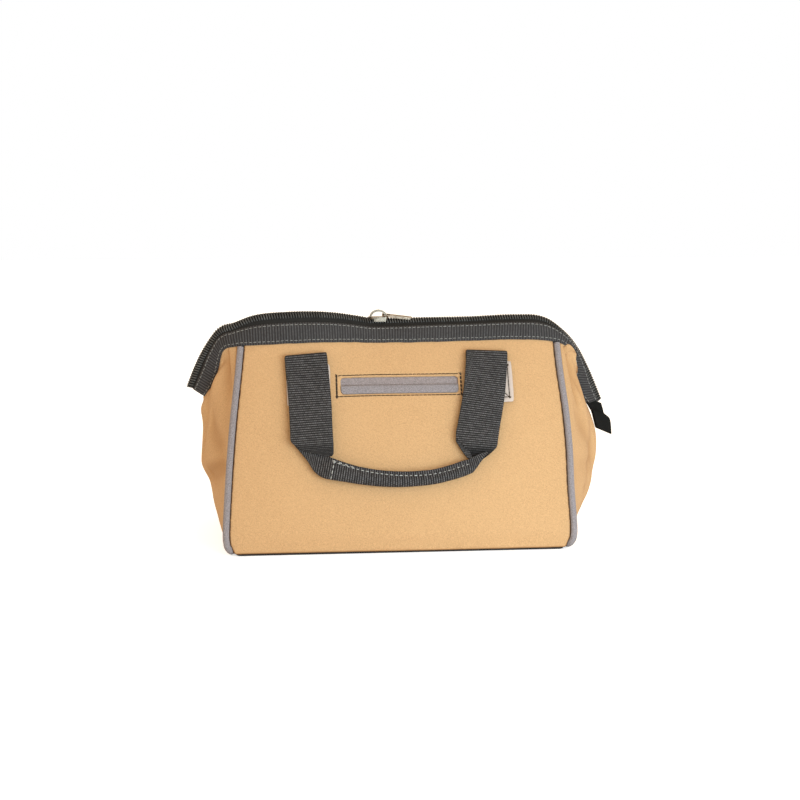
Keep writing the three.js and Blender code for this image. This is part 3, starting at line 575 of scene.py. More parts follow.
def seam_at(end, side, z):
    """The corner seam between a panel and a gusset."""
    _, half_width, shift, _, _ = BODY.at(z)
    return on_panel(side, shift + end * half_width, z)


def seam_top(end):
    _, half_width, shift, _, _ = BODY.rows[-1]
    return mouth_at(FRONT, shift + end * half_width)[0]


def on_gusset(end, u, v):
    """A place on a gusset, from the front seam (-1) to the back seam (1) and from base (0) to mouth (1)."""
    spread = abs(u)
    side = FRONT if u < 0 else BACK
    top = seam_top(end)
    tip = MOUTH.rows[0] if end == LEFT else MOUTH.rows[-1]
    seam_z = lerp(GUSSET_FOOT, top.z, v)
    seam = seam_at(end, side, seam_z)
    bend = PIPING_BASE_Z + PIPING_TURN
    if seam_z < bend:
        inner = PIPING_TURN - GUSSET_TRIM
        arc = math.sqrt(max(inner**2 - (bend - seam_z) ** 2, 0))
        seam.y = side * (abs(seam_at(end, side, bend).y) - PIPING_TURN + arc + GUSSET_TRIM)
    bulge = BULGE[end].at(v)[1]
    low = Vector((
        lerp(seam.x, end * bulge, 1 - spread**GUSSET_FULLNESS),
        seam.y * spread,
        lerp(seam_z, lerp(GUSSET_FOOT, tip[1], v), 1 - spread**2),
    ))
    reach = clamp((spread - GUSSET_TIP) / (1 - GUSSET_TIP))
    foot, _, coil = mouth_at(side, lerp(tip[0], top.x, reach))
    high = foot + (foot - coil).normalized() * (GUSSET_TOP_GAP + pinch_at(side, foot))
    if spread < GUSSET_TIP:
        high.y *= spread / GUSSET_TIP
    return low.lerp(high, smoothstep(v, GUSSET_GATHER, 1))


def fold_depth(folds, end, u, v):
    """How far the creases dent a gusset at one place."""
    depth = 0
    for where, from_u, from_v, to_u, to_v, deep, reach in folds:
        if where != end:
            continue
        run_u = to_u - from_u
        run_v = to_v - from_v
        t = clamp(((u - from_u) * run_u + (v - from_v) * run_v) / (run_u**2 + run_v**2))
        off = math.hypot(u - from_u - t * run_u, v - from_v - t * run_v)
        depth += deep * hill(off, reach)
    foot, top, seam = FOLD_FADE
    fade = smoothstep(v, *foot) * (1 - smoothstep(v, *top)) * (1 - smoothstep(abs(u), *seam))
    return depth * fade


def wave_at(point, size, seed):
    """Smooth noise between about -1 and 1, with waves of one size in millimetres."""
    return noise.noise(Vector(point) / size + Vector((seed * 7.3, seed * 3.1, seed * 5.7)))


def waves_at(point, rows, shift=0):
    """Several waves together, from rows of height, size and seed."""
    return sum(height * wave_at(point, size, seed + shift) for height, size, seed in rows)


def box_distance(x, z, box, corner):
    """Distance from a rectangle with round corners, below zero inside it."""
    left, foot, right, top = box
    dx = abs(x - (left + right) / 2) - (right - left) / 2 + corner
    dz = abs(z - (foot + top) / 2) - (top - foot) / 2 + corner
    return math.hypot(max(dx, 0), max(dz, 0)) + min(max(dx, dz), 0) - corner


# Meshes
def finish_piece(obj, body, slot, *nodes):
    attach(obj, body)
    if nodes:
        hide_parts(*nodes)
    return obj


def make_object(name, mesh):
    obj = bpy.data.objects.new(name, mesh)
    bpy.context.scene.collection.objects.link(obj)
    return obj


def signed_volume(points, faces):
    total = 0.0
    for face in faces:
        a = points[face[0]]
        for b, c in zip(face[1:-1], face[2:]):
            total += float(np.dot(a, np.cross(points[b], points[c])))
    return total


def closed_mesh(name, points, faces, uv, material, painted_shade=None, sharp=50):
    """A closed mesh with its faces outwards, a UV map in metres and a mask of painted shade: where shadow
    falls by its seams, in creases and where straps tuck in.
    """
    points = np.asarray(points, float)
    if signed_volume(points[:, :3], faces) < 0:
        faces = [tuple(reversed(face)) for face in faces]
    mesh = bpy.data.meshes.new(name)
    mesh.from_pydata([tuple(p) for p in points * MM], [], faces)
    layer = mesh.uv_layers.new(name="UVMap")
    corner_vertex = np.zeros(len(mesh.loops), np.int32)
    mesh.loops.foreach_get("vertex_index", corner_vertex)
    layer.data.foreach_set("uv", (np.asarray(uv, float)[corner_vertex] * MM).ravel())
    # Painted shade: where this mask is high, the finishes darken the colour as if shadow fell there.
    mask = mesh.attributes.new("painted_shade", "FLOAT", "POINT")
    mask.data.foreach_set("value", np.zeros(len(points)) if painted_shade is None else np.asarray(painted_shade, float))
    mesh.shade_smooth()
    mesh.set_sharp_from_angle(angle=math.radians(sharp))
    mesh.materials.append(material)
    mesh.update()
    return make_object(name, mesh)


def grid_normals(grid, outward):
    """Unit normals of a grid of points, turned towards a direction."""
    across = np.gradient(grid, axis=1)
    up = np.gradient(grid, axis=0)
    normal = np.cross(across, up)
    normal /= np.maximum(np.linalg.norm(normal, axis=2, keepdims=True), 1e-9)
    facing = np.sum(normal * np.asarray(outward, float), axis=2, keepdims=True)
    return np.where(facing < 0, -normal, normal)


def cloth_wall(name, outer, inner, uv, material, painted_shade=None, gone=None):
    """A closed sheet between two facing grids. Cells marked as gone leave a hole with its own rim."""
    rows, columns = outer.shape[:2]
    half = rows * columns
    index = np.arange(half).reshape(rows, columns)
    faces = []
    edges = {}
    for r in range(rows - 1):
        for c in range(columns - 1):
            if gone is not None and gone[r, c]:
                continue
            cell = (int(index[r, c]), int(index[r, c + 1]), int(index[r + 1, c + 1]), int(index[r + 1, c]))
            faces.append(cell)
            faces.append(tuple(half + i for i in reversed(cell)))
            for a, b in zip(cell, cell[1:] + cell[:1]):
                if (b, a) in edges:
                    del edges[(b, a)]
                else:
                    edges[(a, b)] = True
    for a, b in edges:
        faces.append((b, a, half + a, half + b))
    points = np.concatenate([outer.reshape(-1, 3), inner.reshape(-1, 3)])
    maps = np.concatenate([uv.reshape(-1, 2)] * 2)
    mask = None if painted_shade is None else np.concatenate([painted_shade.ravel()] * 2)
    used = sorted({i for face in faces for i in face})
    place = {old: new for new, old in enumerate(used)}
    faces = [tuple(place[i] for i in face) for face in faces]
    mask = None if mask is None else mask[used]
    return closed_mesh(name, points[used], faces, maps[used], material, mask)


def loft(name, shells, material, sharp=50):
    """Closed solids, each through a run of loops of points with its UV and its mask of painted shade, as one
    mesh.
    """
    points = []
    maps = []
    mask = []
    faces = []
    for loops, uv, *painted_shade in shells:
        loops = np.asarray(loops, float)
        stations, count = loops.shape[:2]
        flat = loops.reshape(-1, 3)
        shell = []
        for k in range(stations - 1):
            for i in range(count):
                a = k * count + i
                b = k * count + (i + 1) % count
                shell.append((a, b, b + count, a + count))
        last = (stations - 1) * count
        shell.append(tuple(reversed(range(count))))
        shell.append(tuple(range(last, last + count)))
        if signed_volume(flat, shell) < 0:
            shell = [tuple(reversed(face)) for face in shell]
        first = len(points)
        faces.extend(tuple(first + i for i in face) for face in shell)
        points.extend(flat)
        maps.extend(np.asarray(uv, float).reshape(-1, 2))
        mask.extend(np.ravel(painted_shade) if painted_shade else np.zeros(len(flat)))
    return closed_mesh(name, points, faces, maps, material, mask, sharp)


def node_copy(node, name, bevel, material, swell=0.0):
    """A merged copy of a solid, a little fuller, with its edges rounded."""
    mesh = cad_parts[node].data.copy()
    mesh.name = name
    build = bmesh.new()
    build.from_mesh(mesh)
    bmesh.ops.remove_doubles(build, verts=build.verts, dist=1e-6)
    bmesh.ops.dissolve_limit(build, angle_limit=math.radians(1), verts=build.verts, edges=build.edges)
    build.normal_update()
    for vertex in build.verts:
        vertex.co += vertex.normal * swell
    build.to_mesh(mesh)
    build.free()
    mesh.materials.clear()
    mesh.materials.append(material)
    mesh.shade_smooth()
    mesh.set_sharp_from_angle(angle=math.radians(30))
    obj = make_object(name, mesh)
    rounding = obj.modifiers.new("Rounded Edges", "BEVEL")
    rounding.width = bevel
    rounding.segments = 2
    rounding.limit_method = "ANGLE"
    rounding.angle_limit = math.radians(30)
    rounding.harden_normals = True
    return obj


# Node trees
class Tree:
    """Adds nodes to a tree, with their settings and inputs in one call."""

    def __init__(self, tree):
        self.tree = tree

    def add(self, kind, inputs=None, **settings):
        node = self.tree.nodes.new(kind)
        for key, value in settings.items():
            setattr(node, key, value)
        for key, value in (inputs or {}).items():
            self.feed(node.inputs[key], value)
        return node

    def feed(self, socket, value):
        if isinstance(value, bpy.types.NodeSocket):
            self.tree.links.new(value, socket)
        else:
            socket.default_value = value

    def math(self, operation, a, b=0.0, c=0.0):
        node = self.add("ShaderNodeMath", operation=operation)
        for socket, value in zip(node.inputs, (a, b, c)):
            self.feed(socket, value)
        return node.outputs[0]

    def mix(self, factor, a, b, blend="MIX"):
        node = self.add("ShaderNodeMix", data_type="RGBA", blend_type=blend)
        self.feed(node.inputs[0], factor)
        self.feed(node.inputs[6], a)
        self.feed(node.inputs[7], b)
        return node.outputs[2]

    def ramp(self, value, low, high):
        """A value moved from low..high to 0..1, and kept there."""
        node = self.add("ShaderNodeMapRange", {"Value": value, "From Min": low, "From Max": high})
        return node.outputs[0]


def new_group(name, kind, sockets):
    """A node group with named sockets, and its input and output nodes."""
    group = bpy.data.node_groups.new(name, kind)
    for label, in_out, socket_kind, default in sockets:
        socket = group.interface.new_socket(name=label, in_out=in_out, socket_type=socket_kind)
        if default is not None:
            socket.default_value = default
    tree = Tree(group)
    start = tree.add("NodeGroupInput")
    end = tree.add("NodeGroupOutput")
    return group, tree, start.outputs, end.inputs


FLOAT = "NodeSocketFloat"
VECTOR = "NodeSocketVector"
GEOMETRY = "NodeSocketGeometry"


def twill_group():
    """Diagonal weave: the height of the threads and how each one's tone strays."""
    name = "twill_weave"
    if name in bpy.data.node_groups:
        return bpy.data.node_groups[name]
    group, tree, given, out = new_group(name, "ShaderNodeTree", (
        ("Vector", "INPUT", VECTOR, None),
        ("Thread", "INPUT", FLOAT, 0.0008),
        ("Slant", "INPUT", FLOAT, 0.6),
        ("Height", "OUTPUT", FLOAT, None),
        ("Tone", "OUTPUT", FLOAT, None),
    ))
    turned = tree.add("ShaderNodeVectorRotate", {"Vector": given["Vector"], "Angle": given["Slant"]},
                      rotation_type="Z_AXIS")
    scale = tree.math("DIVIDE", 1.0, given["Thread"])
    scaled = tree.add("ShaderNodeVectorMath", {0: turned.outputs[0], "Scale": scale}, operation="SCALE")
    split = tree.add("ShaderNodeSeparateXYZ", {0: scaled.outputs[0]})
    along = tree.math("MULTIPLY", split.outputs[0], math.pi)
    across = tree.math("MULTIPLY", split.outputs[1], math.pi)
    warp = tree.math("ABSOLUTE", tree.math("SINE", along))
    weft = tree.math("ABSOLUTE", tree.math("SINE", across))
    over = tree.math("SINE", tree.math("ADD", along, across))
    turn = tree.math("MULTIPLY_ADD", over, 0.5, 0.5)
    under = tree.math("SUBTRACT", 1.0, turn)
    height = tree.math("MAXIMUM", tree.math("MULTIPLY", warp, turn), tree.math("MULTIPLY", weft, under))
    stray = tree.add("ShaderNodeTexNoise", {"Vector": scaled.outputs[0], "Scale": 0.45, "Detail": 2.0})
    tree.feed(out["Height"], height)
    tree.feed(out["Tone"], stray.outputs[0])
    return group


def rib_group():
    """Woven ribs: painted highlights as dots in staggered rows on the crests, the crest-to-valley value for
    painted shade in the valleys, and the ribs' height.
    """
    name = "woven_ribs"
    if name in bpy.data.node_groups:
        return bpy.data.node_groups[name]
    group, tree, given, out = new_group(name, "ShaderNodeTree", (
        ("Vector", "INPUT", VECTOR, None),
        ("Rib", "INPUT", FLOAT, 0.002),
        ("Yarn", "INPUT", FLOAT, 0.0013),
        ("Glint", "OUTPUT", FLOAT, None),
        ("Height", "OUTPUT", FLOAT, None),
        ("Shade", "OUTPUT", FLOAT, None),
    ))
    split = tree.add("ShaderNodeSeparateXYZ", {0: given["Vector"]})
    rib = tree.math("DIVIDE", split.outputs[1], given["Rib"])
    odd = tree.math("MULTIPLY", tree.math("MODULO", tree.math("FLOOR", rib), 2.0), 0.5)
    yarn = tree.math("ADD", tree.math("DIVIDE", split.outputs[0], given["Yarn"]), odd)
    turn = 2 * math.pi
    row = tree.math("MULTIPLY_ADD", tree.math("COSINE", tree.math("MULTIPLY", rib, turn)), -0.5, 0.5)
    column = tree.math("MULTIPLY_ADD", tree.math("COSINE", tree.math("MULTIPLY", yarn, turn)), 0.5, 0.5)
    spot = tree.math("MULTIPLY", tree.math("POWER", row, 2.0), tree.math("MULTIPLY_ADD", column, 0.7, 0.3))
    cell = tree.add("ShaderNodeCombineXYZ", {0: tree.math("FLOOR", yarn), 1: tree.math("FLOOR", rib)})
    stray = tree.add("ShaderNodeTexWhiteNoise", {"Vector": cell.outputs[0]}, noise_dimensions="2D")
    glint = tree.math("MULTIPLY", spot, tree.math("MULTIPLY_ADD", stray.outputs[0], 0.75, 0.25))
    tree.feed(out["Glint"], glint)
    tree.feed(out["Height"], tree.math("MULTIPLY_ADD", column, 0.5, tree.math("MULTIPLY", row, 0.5)))
    tree.feed(out["Shade"], row)
    return group


def nap_group():
    """Fuzzy nap and slow patches of tone, on plain coordinates."""
    name = "soft_nap"
    if name in bpy.data.node_groups:
        return bpy.data.node_groups[name]
    group, tree, given, out = new_group(name, "ShaderNodeTree", (
        ("Vector", "INPUT", VECTOR, None),
        ("Fleck", "INPUT", FLOAT, 900.0),
        ("Patch", "INPUT", FLOAT, 18.0),
        ("Fleck", "OUTPUT", FLOAT, None),
        ("Patch", "OUTPUT", FLOAT, None),
    ))
    for label, detail, low, high in (("Fleck", 3.0, 0.3, 0.7), ("Patch", 4.0, 0.32, 0.68)):
        inputs = {"Vector": given["Vector"], "Scale": given[label], "Detail": detail}
        cloud = tree.add("ShaderNodeTexNoise", inputs)
        tree.feed(out[label], tree.ramp(cloud.outputs[0], low, high))
    return group


class Finish:
    """A material under construction, with its shader and its usual coordinates."""

    def __init__(self, name, roughness, specular=0.35, sheen=0.0):
        self.material = bpy.data.materials.new(name)
        self.material.use_nodes = True
        self.nodes = Tree(self.material.node_tree)
        self.shader = self.material.node_tree.nodes["Principled BSDF"]
        self.shader.inputs["Roughness"].default_value = roughness
        self.shader.inputs["Specular IOR Level"].default_value = specular
        self.shader.inputs["Sheen Weight"].default_value = sheen
        self.shader.inputs["Sheen Roughness"].default_value = 0.5
        self.place = self.nodes.add("ShaderNodeTexCoord").outputs["Object"]

    def uv(self):
        return self.nodes.add("ShaderNodeUVMap", uv_map="UVMap").outputs[0]

    # Reads the piece's mask of painted shade.
    def painted_shade(self):
        return self.nodes.add("ShaderNodeAttribute", attribute_name="painted_shade").outputs["Fac"]

    def group(self, tree, **inputs):
        return self.nodes.add("ShaderNodeGroup", inputs, node_tree=tree).outputs

    def colour(self, value):
        self.nodes.feed(self.shader.inputs["Base Color"], value)

    def bump(self, height, distance, strength=1.0):
        inputs = {"Height": height, "Distance": distance, "Strength": strength}
        bump = self.nodes.add("ShaderNodeBump", inputs)
        self.nodes.feed(self.shader.inputs["Normal"], bump.outputs[0])
        return self.material


def canvas_finish(name):
    finish = Finish(name, 0.9, 0.2, 0.06)
    nodes = finish.nodes
    weave = finish.group(twill_group(), Vector=finish.uv(), Thread=sizes().cloth_thread, Slant=0.62)
    nap = finish.group(nap_group(), Vector=finish.place, Fleck=1100.0, Patch=16.0)
    raised = nodes.ramp(weave["Height"], 0.15, 0.95)
    threads = nodes.mix(raised, tint("canvas", 0.74, 0.15), tint("canvas", 1.06))
    stray = nodes.math("MULTIPLY", nodes.ramp(weave["Tone"], 0.35, 0.65), 0.32)
    strayed = nodes.mix(stray, threads, tint("canvas", 0.74, 0.2))
    flecked = nodes.mix(nodes.math("MULTIPLY", nap["Fleck"], 0.7), strayed, tint("canvas", 1.26))
    faded = nodes.mix(nodes.math("MULTIPLY", nap["Patch"], 0.2), flecked, tint("canvas", 1.1))
    # Painted shade: a warmer, darker canvas where the mask is low, in the gussets' creases, then the dark
    # brown of the seam thread where it is high, in the seams and along the foot.
    painted_shade = finish.painted_shade()
    crease_shaded_canvas = nodes.mix(nodes.ramp(painted_shade, 0.0, 0.3), faded, tint("canvas", 0.76, 0.3))
    finish.colour(nodes.mix(nodes.ramp(painted_shade, 0.3, 0.92), crease_shaded_canvas, tint("seam_thread")))
    height = nodes.math("MULTIPLY_ADD", nap["Fleck"], 0.7, weave["Height"])
    return finish.bump(height, 0.0003, 0.7)


def felt_finish(name, colour_name):
    finish = Finish(name, 0.95, 0.2, 0.12)
    nodes = finish.nodes
    nap = finish.group(nap_group(), Vector=finish.place, Fleck=1050.0, Patch=60.0)
    flecked = nodes.mix(nap["Fleck"], tint(colour_name, 0.7), tint(colour_name, 1.32))
    finish.colour(nodes.mix(nodes.math("MULTIPLY", nap["Patch"], 0.15), flecked, tint(colour_name, 1.15)))
    return finish.bump(nap["Fleck"], 0.0004, 0.8)


def ribbed_finish(name, colour_name, rib, yarn, deep, glint, bright):
    finish = Finish(name, 0.75, 0.14)
    nodes = finish.nodes
    ribs = finish.group(rib_group(), Vector=finish.uv(), Rib=rib, Yarn=yarn)
    nap = finish.group(nap_group(), Vector=finish.place, Fleck=800.0, Patch=30.0)
    # Painted shade: the valleys between ribs are darker, as dark as deep.
    ground = nodes.mix(ribs["Shade"], tint(colour_name, deep), tint(colour_name, 1.05))
    flecked = nodes.mix(nodes.math("MULTIPLY", nap["Fleck"], 0.2), ground, tint(colour_name, 1.3))
    worn = nodes.mix(nodes.math("MULTIPLY", nap["Patch"], 0.12), flecked, tint(colour_name, 1.6))
    # Painted highlights: glints on the rib crests, as bright as bright.
    lit = nodes.mix(nodes.math("MULTIPLY", ribs["Glint"], glint), worn, tint(colour_name, bright))
    # Painted shade where a strap tucks under the grip.
    finish.colour(nodes.mix(finish.painted_shade(), lit, tint(colour_name, 0.2)))
    return finish.bump(ribs["Height"], 0.00035, 0.9)


def tape_finish(name, shade, gloss):
    finish = Finish(name, 0.75, gloss)
    nodes = finish.nodes
    weave = finish.group(twill_group(), Vector=finish.uv(), Thread=0.0007, Slant=0.78)
    nap = finish.group(nap_group(), Vector=finish.place, Fleck=900.0, Patch=40.0)
    ground = nodes.mix(weave["Height"], tint("zip", 0.6 * shade), tint("zip", 1.7 * shade))
    finish.colour(nodes.mix(nodes.math("MULTIPLY", nap["Patch"], 0.3), ground, tint("zip", 2.2 * shade)))
    return finish.bump(weave["Height"], 0.0002, 0.7)


def coil_finish(name):
    finish = Finish(name, 0.36, 0.4)
    nodes = finish.nodes
    nap = finish.group(nap_group(), Vector=finish.place, Fleck=1500.0, Patch=80.0)
    finish.colour(nodes.mix(nap["Patch"], tint("zip", 3.0), tint("zip", 6.5)))
    return finish.bump(nap["Fleck"], 0.00008, 0.3)


def coated_finish(name):
    finish = Finish(name, 0.6, 0.2)
    nodes = finish.nodes
    nap = finish.group(nap_group(), Vector=finish.place, Fleck=1300.0, Patch=25.0)
    scuffed = nodes.mix(nodes.math("MULTIPLY", nap["Patch"], 0.35), tint("base"), tint("base", 2.4))
    finish.colour(scuffed)
    return finish.bump(nap["Fleck"], 0.0002, 0.6)


def leather_finish(name):
    finish = Finish(name, 0.55, 0.4)
    nodes = finish.nodes
    nap = finish.group(nap_group(), Vector=finish.place, Fleck=950.0, Patch=45.0)
    grain = nodes.add("ShaderNodeTexVoronoi", {"Vector": finish.place, "Scale": 900.0})
    grained = nodes.mix(nodes.math("MULTIPLY", nap["Fleck"], 0.4), tint("patch"), tint("patch", 0.82))
    soiled = nodes.mix(nodes.math("MULTIPLY", nap["Patch"], 0.25), grained, tint("patch", 0.72))
    # Painted shade along the sewn lines, from the piece's mask. The soiled patches are random dirt.
    finish.colour(nodes.mix(finish.painted_shade(), soiled, tint("patch", 0.55)))
    return finish.bump(grain.outputs["Distance"], 0.0002, 0.5)


def nickel_finish(name, shade):
    finish = Finish(name, 0.24, 0.5)
    nodes = finish.nodes
    finish.shader.inputs["Metallic"].default_value = 1.0
    nap = finish.group(nap_group(), Vector=finish.place, Fleck=1800.0, Patch=220.0)
    # Painted reflection: mottled darker patches stand in for reflections of darker surroundings; shade sets
    # how bright each copy is painted.
    bright = tint("nickel", 1.1 * shade)
    finish.colour(nodes.mix(nodes.math("MULTIPLY", nap["Patch"], 0.8), bright, tint("nickel", 0.55 * shade)))
    scratched = nodes.math("MULTIPLY_ADD", nap["Fleck"], 0.14, 0.18)
    nodes.feed(finish.shader.inputs["Roughness"], scratched)
    return finish.bump(nap["Fleck"], 0.00004, 0.25)


def thread_finish(name, colour_name):
    finish = Finish(name, 0.7, 0.3, 0.05)
    nodes = finish.nodes
    nap = finish.group(nap_group(), Vector=finish.place, Fleck=2500.0, Patch=150.0)
    twist = nodes.mix(nap["Fleck"], tint(colour_name, 0.75), tint(colour_name, 1.3))
    finish.colour(nodes.mix(nodes.math("MULTIPLY", nap["Patch"], 0.3), twist, tint(colour_name, 0.8)))
    return finish.bump(nap["Fleck"], 0.0001, 0.6)


def finish_named(name):
    """A material of the bag, made the first time that it is asked for."""
    if name in bpy.data.materials:
        return bpy.data.materials[name]
    size = sizes()
    makers = {
        "tan_canvas": lambda: canvas_finish(name),
        "grey_felt": lambda: felt_finish(name, "piping"),
        "grey_lining": lambda: felt_finish(name, "pocket"),
        "charcoal_webbing": lambda: ribbed_finish(name, "webbing", size.web_rib, 0.0016, 0.12, 0.9, 6.0),
        "charcoal_band": lambda: ribbed_finish(name, "band", size.band_rib, 0.0014, 0.42, 0.5, 3.0),
        "zip_tape_black": lambda: tape_finish(name, 1.1, 0.1),
        "tail_black": lambda: tape_finish(name, 0.4, 0.1),
        "coil_black": lambda: coil_finish(name),
        "coated_black": lambda: coated_finish(name),
        "white_leathercloth": lambda: leather_finish(name),
        # Painted light and shade: the slider's copy of the nickel is painted darker and the pull's copy
        # lighter, for the light that falls on each.
        "shaded_slider_nickel": lambda: nickel_finish(name, 0.75),
        "lit_pull_nickel": lambda: nickel_finish(name, 1.6),
        "thread_grey": lambda: thread_finish(name, "grey_thread"),
        "thread_pale": lambda: thread_finish(name, "pale_thread"),
        "thread_dark": lambda: thread_finish(name, "dark_thread"),
        "thread_brown": lambda: thread_finish(name, "seam_thread"),
    }
    return makers[name]()


# Geometry Nodes
def path_points(tree, given):
    """Points at even spacing on the guide lines, turned along them and away from the cloth."""
    curve = tree.add("GeometryNodeMeshToCurve", {"Mesh": given["Guide"]})
    points = tree.add("GeometryNodeCurveToPoints", {"Curve": curve.outputs[0], "Length": given["Pitch"]},
                      mode="LENGTH")
    outward = tree.add("GeometryNodeInputNamedAttribute", {"Name": "out"}, data_type="FLOAT_VECTOR")
    turn = tree.add("FunctionNodeAxesToRotation",
                    {"Primary Axis": points.outputs["Tangent"], "Secondary Axis": outward.outputs[0]},
                    primary_axis="X", secondary_axis="Z")
    return points.outputs["Points"], turn.outputs[0]


def finish_tree(tree, geometry, material, out):
    """Ends a tree: real mesh, smooth, with its material."""
    real = tree.add("GeometryNodeRealizeInstances", {"Geometry": geometry})
    smooth = tree.add("GeometryNodeSetShadeSmooth", {"Geometry": real.outputs[0]})
    dressed = tree.add("GeometryNodeSetMaterial", {"Geometry": smooth.outputs[0], "Material": material})
    tree.feed(out, dressed.outputs[0])


def stitch_tree():
    """A row of stitches: short threads that rise from the cloth and go back in."""
    name = "stitch_row"
    if name in bpy.data.node_groups:
        return bpy.data.node_groups[name]
    group, tree, given, out = new_group(name, "GeometryNodeTree", (
        ("Guide", "INPUT", GEOMETRY, None),
        ("Pitch", "INPUT", FLOAT, 0.004),
        ("Length", "INPUT", FLOAT, 0.0028),
        ("Thread", "INPUT", FLOAT, 0.0007),
        ("Rise", "INPUT", FLOAT, 0.0002),
        ("Seed", "INPUT", "NodeSocketInt", 3),
        ("Material", "INPUT", "NodeSocketMaterial", None),
        ("Stitches", "OUTPUT", GEOMETRY, None),
    ))
    points, turn = path_points(tree, given)
    half = tree.math("MULTIPLY", given["Length"], 0.5)
    back = tree.math("MULTIPLY", given["Length"], -0.5)
    sink = tree.math("MULTIPLY", given["Thread"], 0.7)
    deep = tree.math("MULTIPLY", sink, -1.0)
    crown = tree.math("MULTIPLY_ADD", given["Rise"], 2.0, sink)
    start = tree.add("ShaderNodeCombineXYZ", {0: back, 2: deep})
    middle = tree.add("ShaderNodeCombineXYZ", {2: crown})
    end = tree.add("ShaderNodeCombineXYZ", {0: half, 2: deep})
    arch = tree.add("GeometryNodeCurveQuadraticBezier", {
        "Resolution": 5, "Start": start.outputs[0], "Middle": middle.outputs[0], "End": end.outputs[0],
    })
    radius = tree.math("MULTIPLY", given["Thread"], 0.5)
    ring = tree.add("GeometryNodeCurvePrimitiveCircle", {"Resolution": 6, "Radius": radius})
    tube = tree.add("GeometryNodeCurveToMesh", {
        "Curve": arch.outputs[0], "Profile Curve": ring.outputs[0], "Fill Caps": True,
    })
    span = {0: (0.9, 0.92, 0.92), 1: (1.08, 1.06, 1.06), "Seed": given["Seed"]}
    vary = tree.add("FunctionNodeRandomValue", span, data_type="FLOAT_VECTOR")
    placed = tree.add("GeometryNodeInstanceOnPoints", {
        "Points": points, "Instance": tube.outputs[0], "Rotation": turn, "Scale": vary.outputs[0],
    })
    finish_tree(tree, placed.outputs[0], given["Material"], out["Stitches"])
    return group


def coil_tree():
    """The turns of a zip's coil along its edge."""
    name = "coil_turns"
    if name in bpy.data.node_groups:
        return bpy.data.node_groups[name]
    group, tree, given, out = new_group(name, "GeometryNodeTree", (
        ("Guide", "INPUT", GEOMETRY, None),
        ("Pitch", "INPUT", FLOAT, 0.0024),
        ("Wire", "INPUT", FLOAT, 0.0012),
        ("Half Width", "INPUT", FLOAT, 0.003),
        ("Half Height", "INPUT", FLOAT, 0.0013),
        ("Slant", "INPUT", FLOAT, 0.2),
        ("Material", "INPUT", "NodeSocketMaterial", None),
        ("Coil", "OUTPUT", GEOMETRY, None),
    ))
    points, turn = path_points(tree, given)
    circle = tree.add("GeometryNodeCurvePrimitiveCircle", {"Resolution": 12, "Radius": 1.0})
    scale = tree.add("ShaderNodeCombineXYZ", {0: given["Half Height"], 1: given["Half Width"], 2: 1.0})
    lean = tree.add("ShaderNodeCombineXYZ", {1: math.pi / 2, 2: given["Slant"]})
    rotation = tree.add("FunctionNodeEulerToRotation", {0: lean.outputs[0]})
    oval = tree.add("GeometryNodeTransform", {
        "Geometry": circle.outputs[0], "Rotation": rotation.outputs[0], "Scale": scale.outputs[0],
    })
    radius = tree.math("MULTIPLY", given["Wire"], 0.5)
    ring = tree.add("GeometryNodeCurvePrimitiveCircle", {"Resolution": 5, "Radius": radius})
    loop = tree.add("GeometryNodeCurveToMesh", {"Curve": oval.outputs[0], "Profile Curve": ring.outputs[0]})
    placed = tree.add("GeometryNodeInstanceOnPoints", {
        "Points": points, "Instance": loop.outputs[0], "Rotation": turn,
    })
    finish_tree(tree, placed.outputs[0], given["Material"], out["Coil"])
    return group


def piping_tree():
    """A round cord cover along a seam."""
    name = "piping_run"
    if name in bpy.data.node_groups:
        return bpy.data.node_groups[name]
    group, tree, given, out = new_group(name, "GeometryNodeTree", (
        ("Guide", "INPUT", GEOMETRY, None),
        ("Radius", "INPUT", FLOAT, 0.0029),
        ("Material", "INPUT", "NodeSocketMaterial", None),
        ("Piping", "OUTPUT", GEOMETRY, None),
    ))
    curve = tree.add("GeometryNodeMeshToCurve", {"Mesh": given["Guide"]})
    ring = tree.add("GeometryNodeCurvePrimitiveCircle", {"Resolution": 18, "Radius": given["Radius"]})
    tube = tree.add("GeometryNodeCurveToMesh", {
        "Curve": curve.outputs[0], "Profile Curve": ring.outputs[0], "Fill Caps": True,
    })
    finish_tree(tree, tube.outputs[0], given["Material"], out["Piping"])
    return group


def grow(name, runs, tree, **inputs):
    """Runs a node tree along guide lines of (point, outward) pairs and keeps the result as a plain mesh."""
    points = []
    outward = []
    edges = []
    for run in runs:
        first = len(points)
        for point, direction in run:
            points.append(tuple(Vector(point) * MM))
            outward.extend(direction)
        edges.extend((i, i + 1) for i in range(first, len(points) - 1))
    guide = bpy.data.meshes.new(name + "_guide")
    guide.from_pydata(points, edges, [])
    guide.attributes.new("out", "FLOAT_VECTOR", "POINT").data.foreach_set("vector", outward)
    obj = make_object(name, guide)
    modifier = obj.modifiers.new("Grow", "NODES")
    modifier.node_group = tree
    for item in tree.interface.items_tree:
        if item.in_out == "INPUT" and item.name in inputs:
            modifier[item.identifier] = inputs[item.name]
    evaluated = obj.evaluated_get(bpy.context.evaluated_depsgraph_get())
    mesh = bpy.data.meshes.new_from_object(evaluated)
    obj.modifiers.remove(modifier)
    mesh.name = name
    obj.data = mesh
    bpy.data.meshes.remove(guide)
    return obj


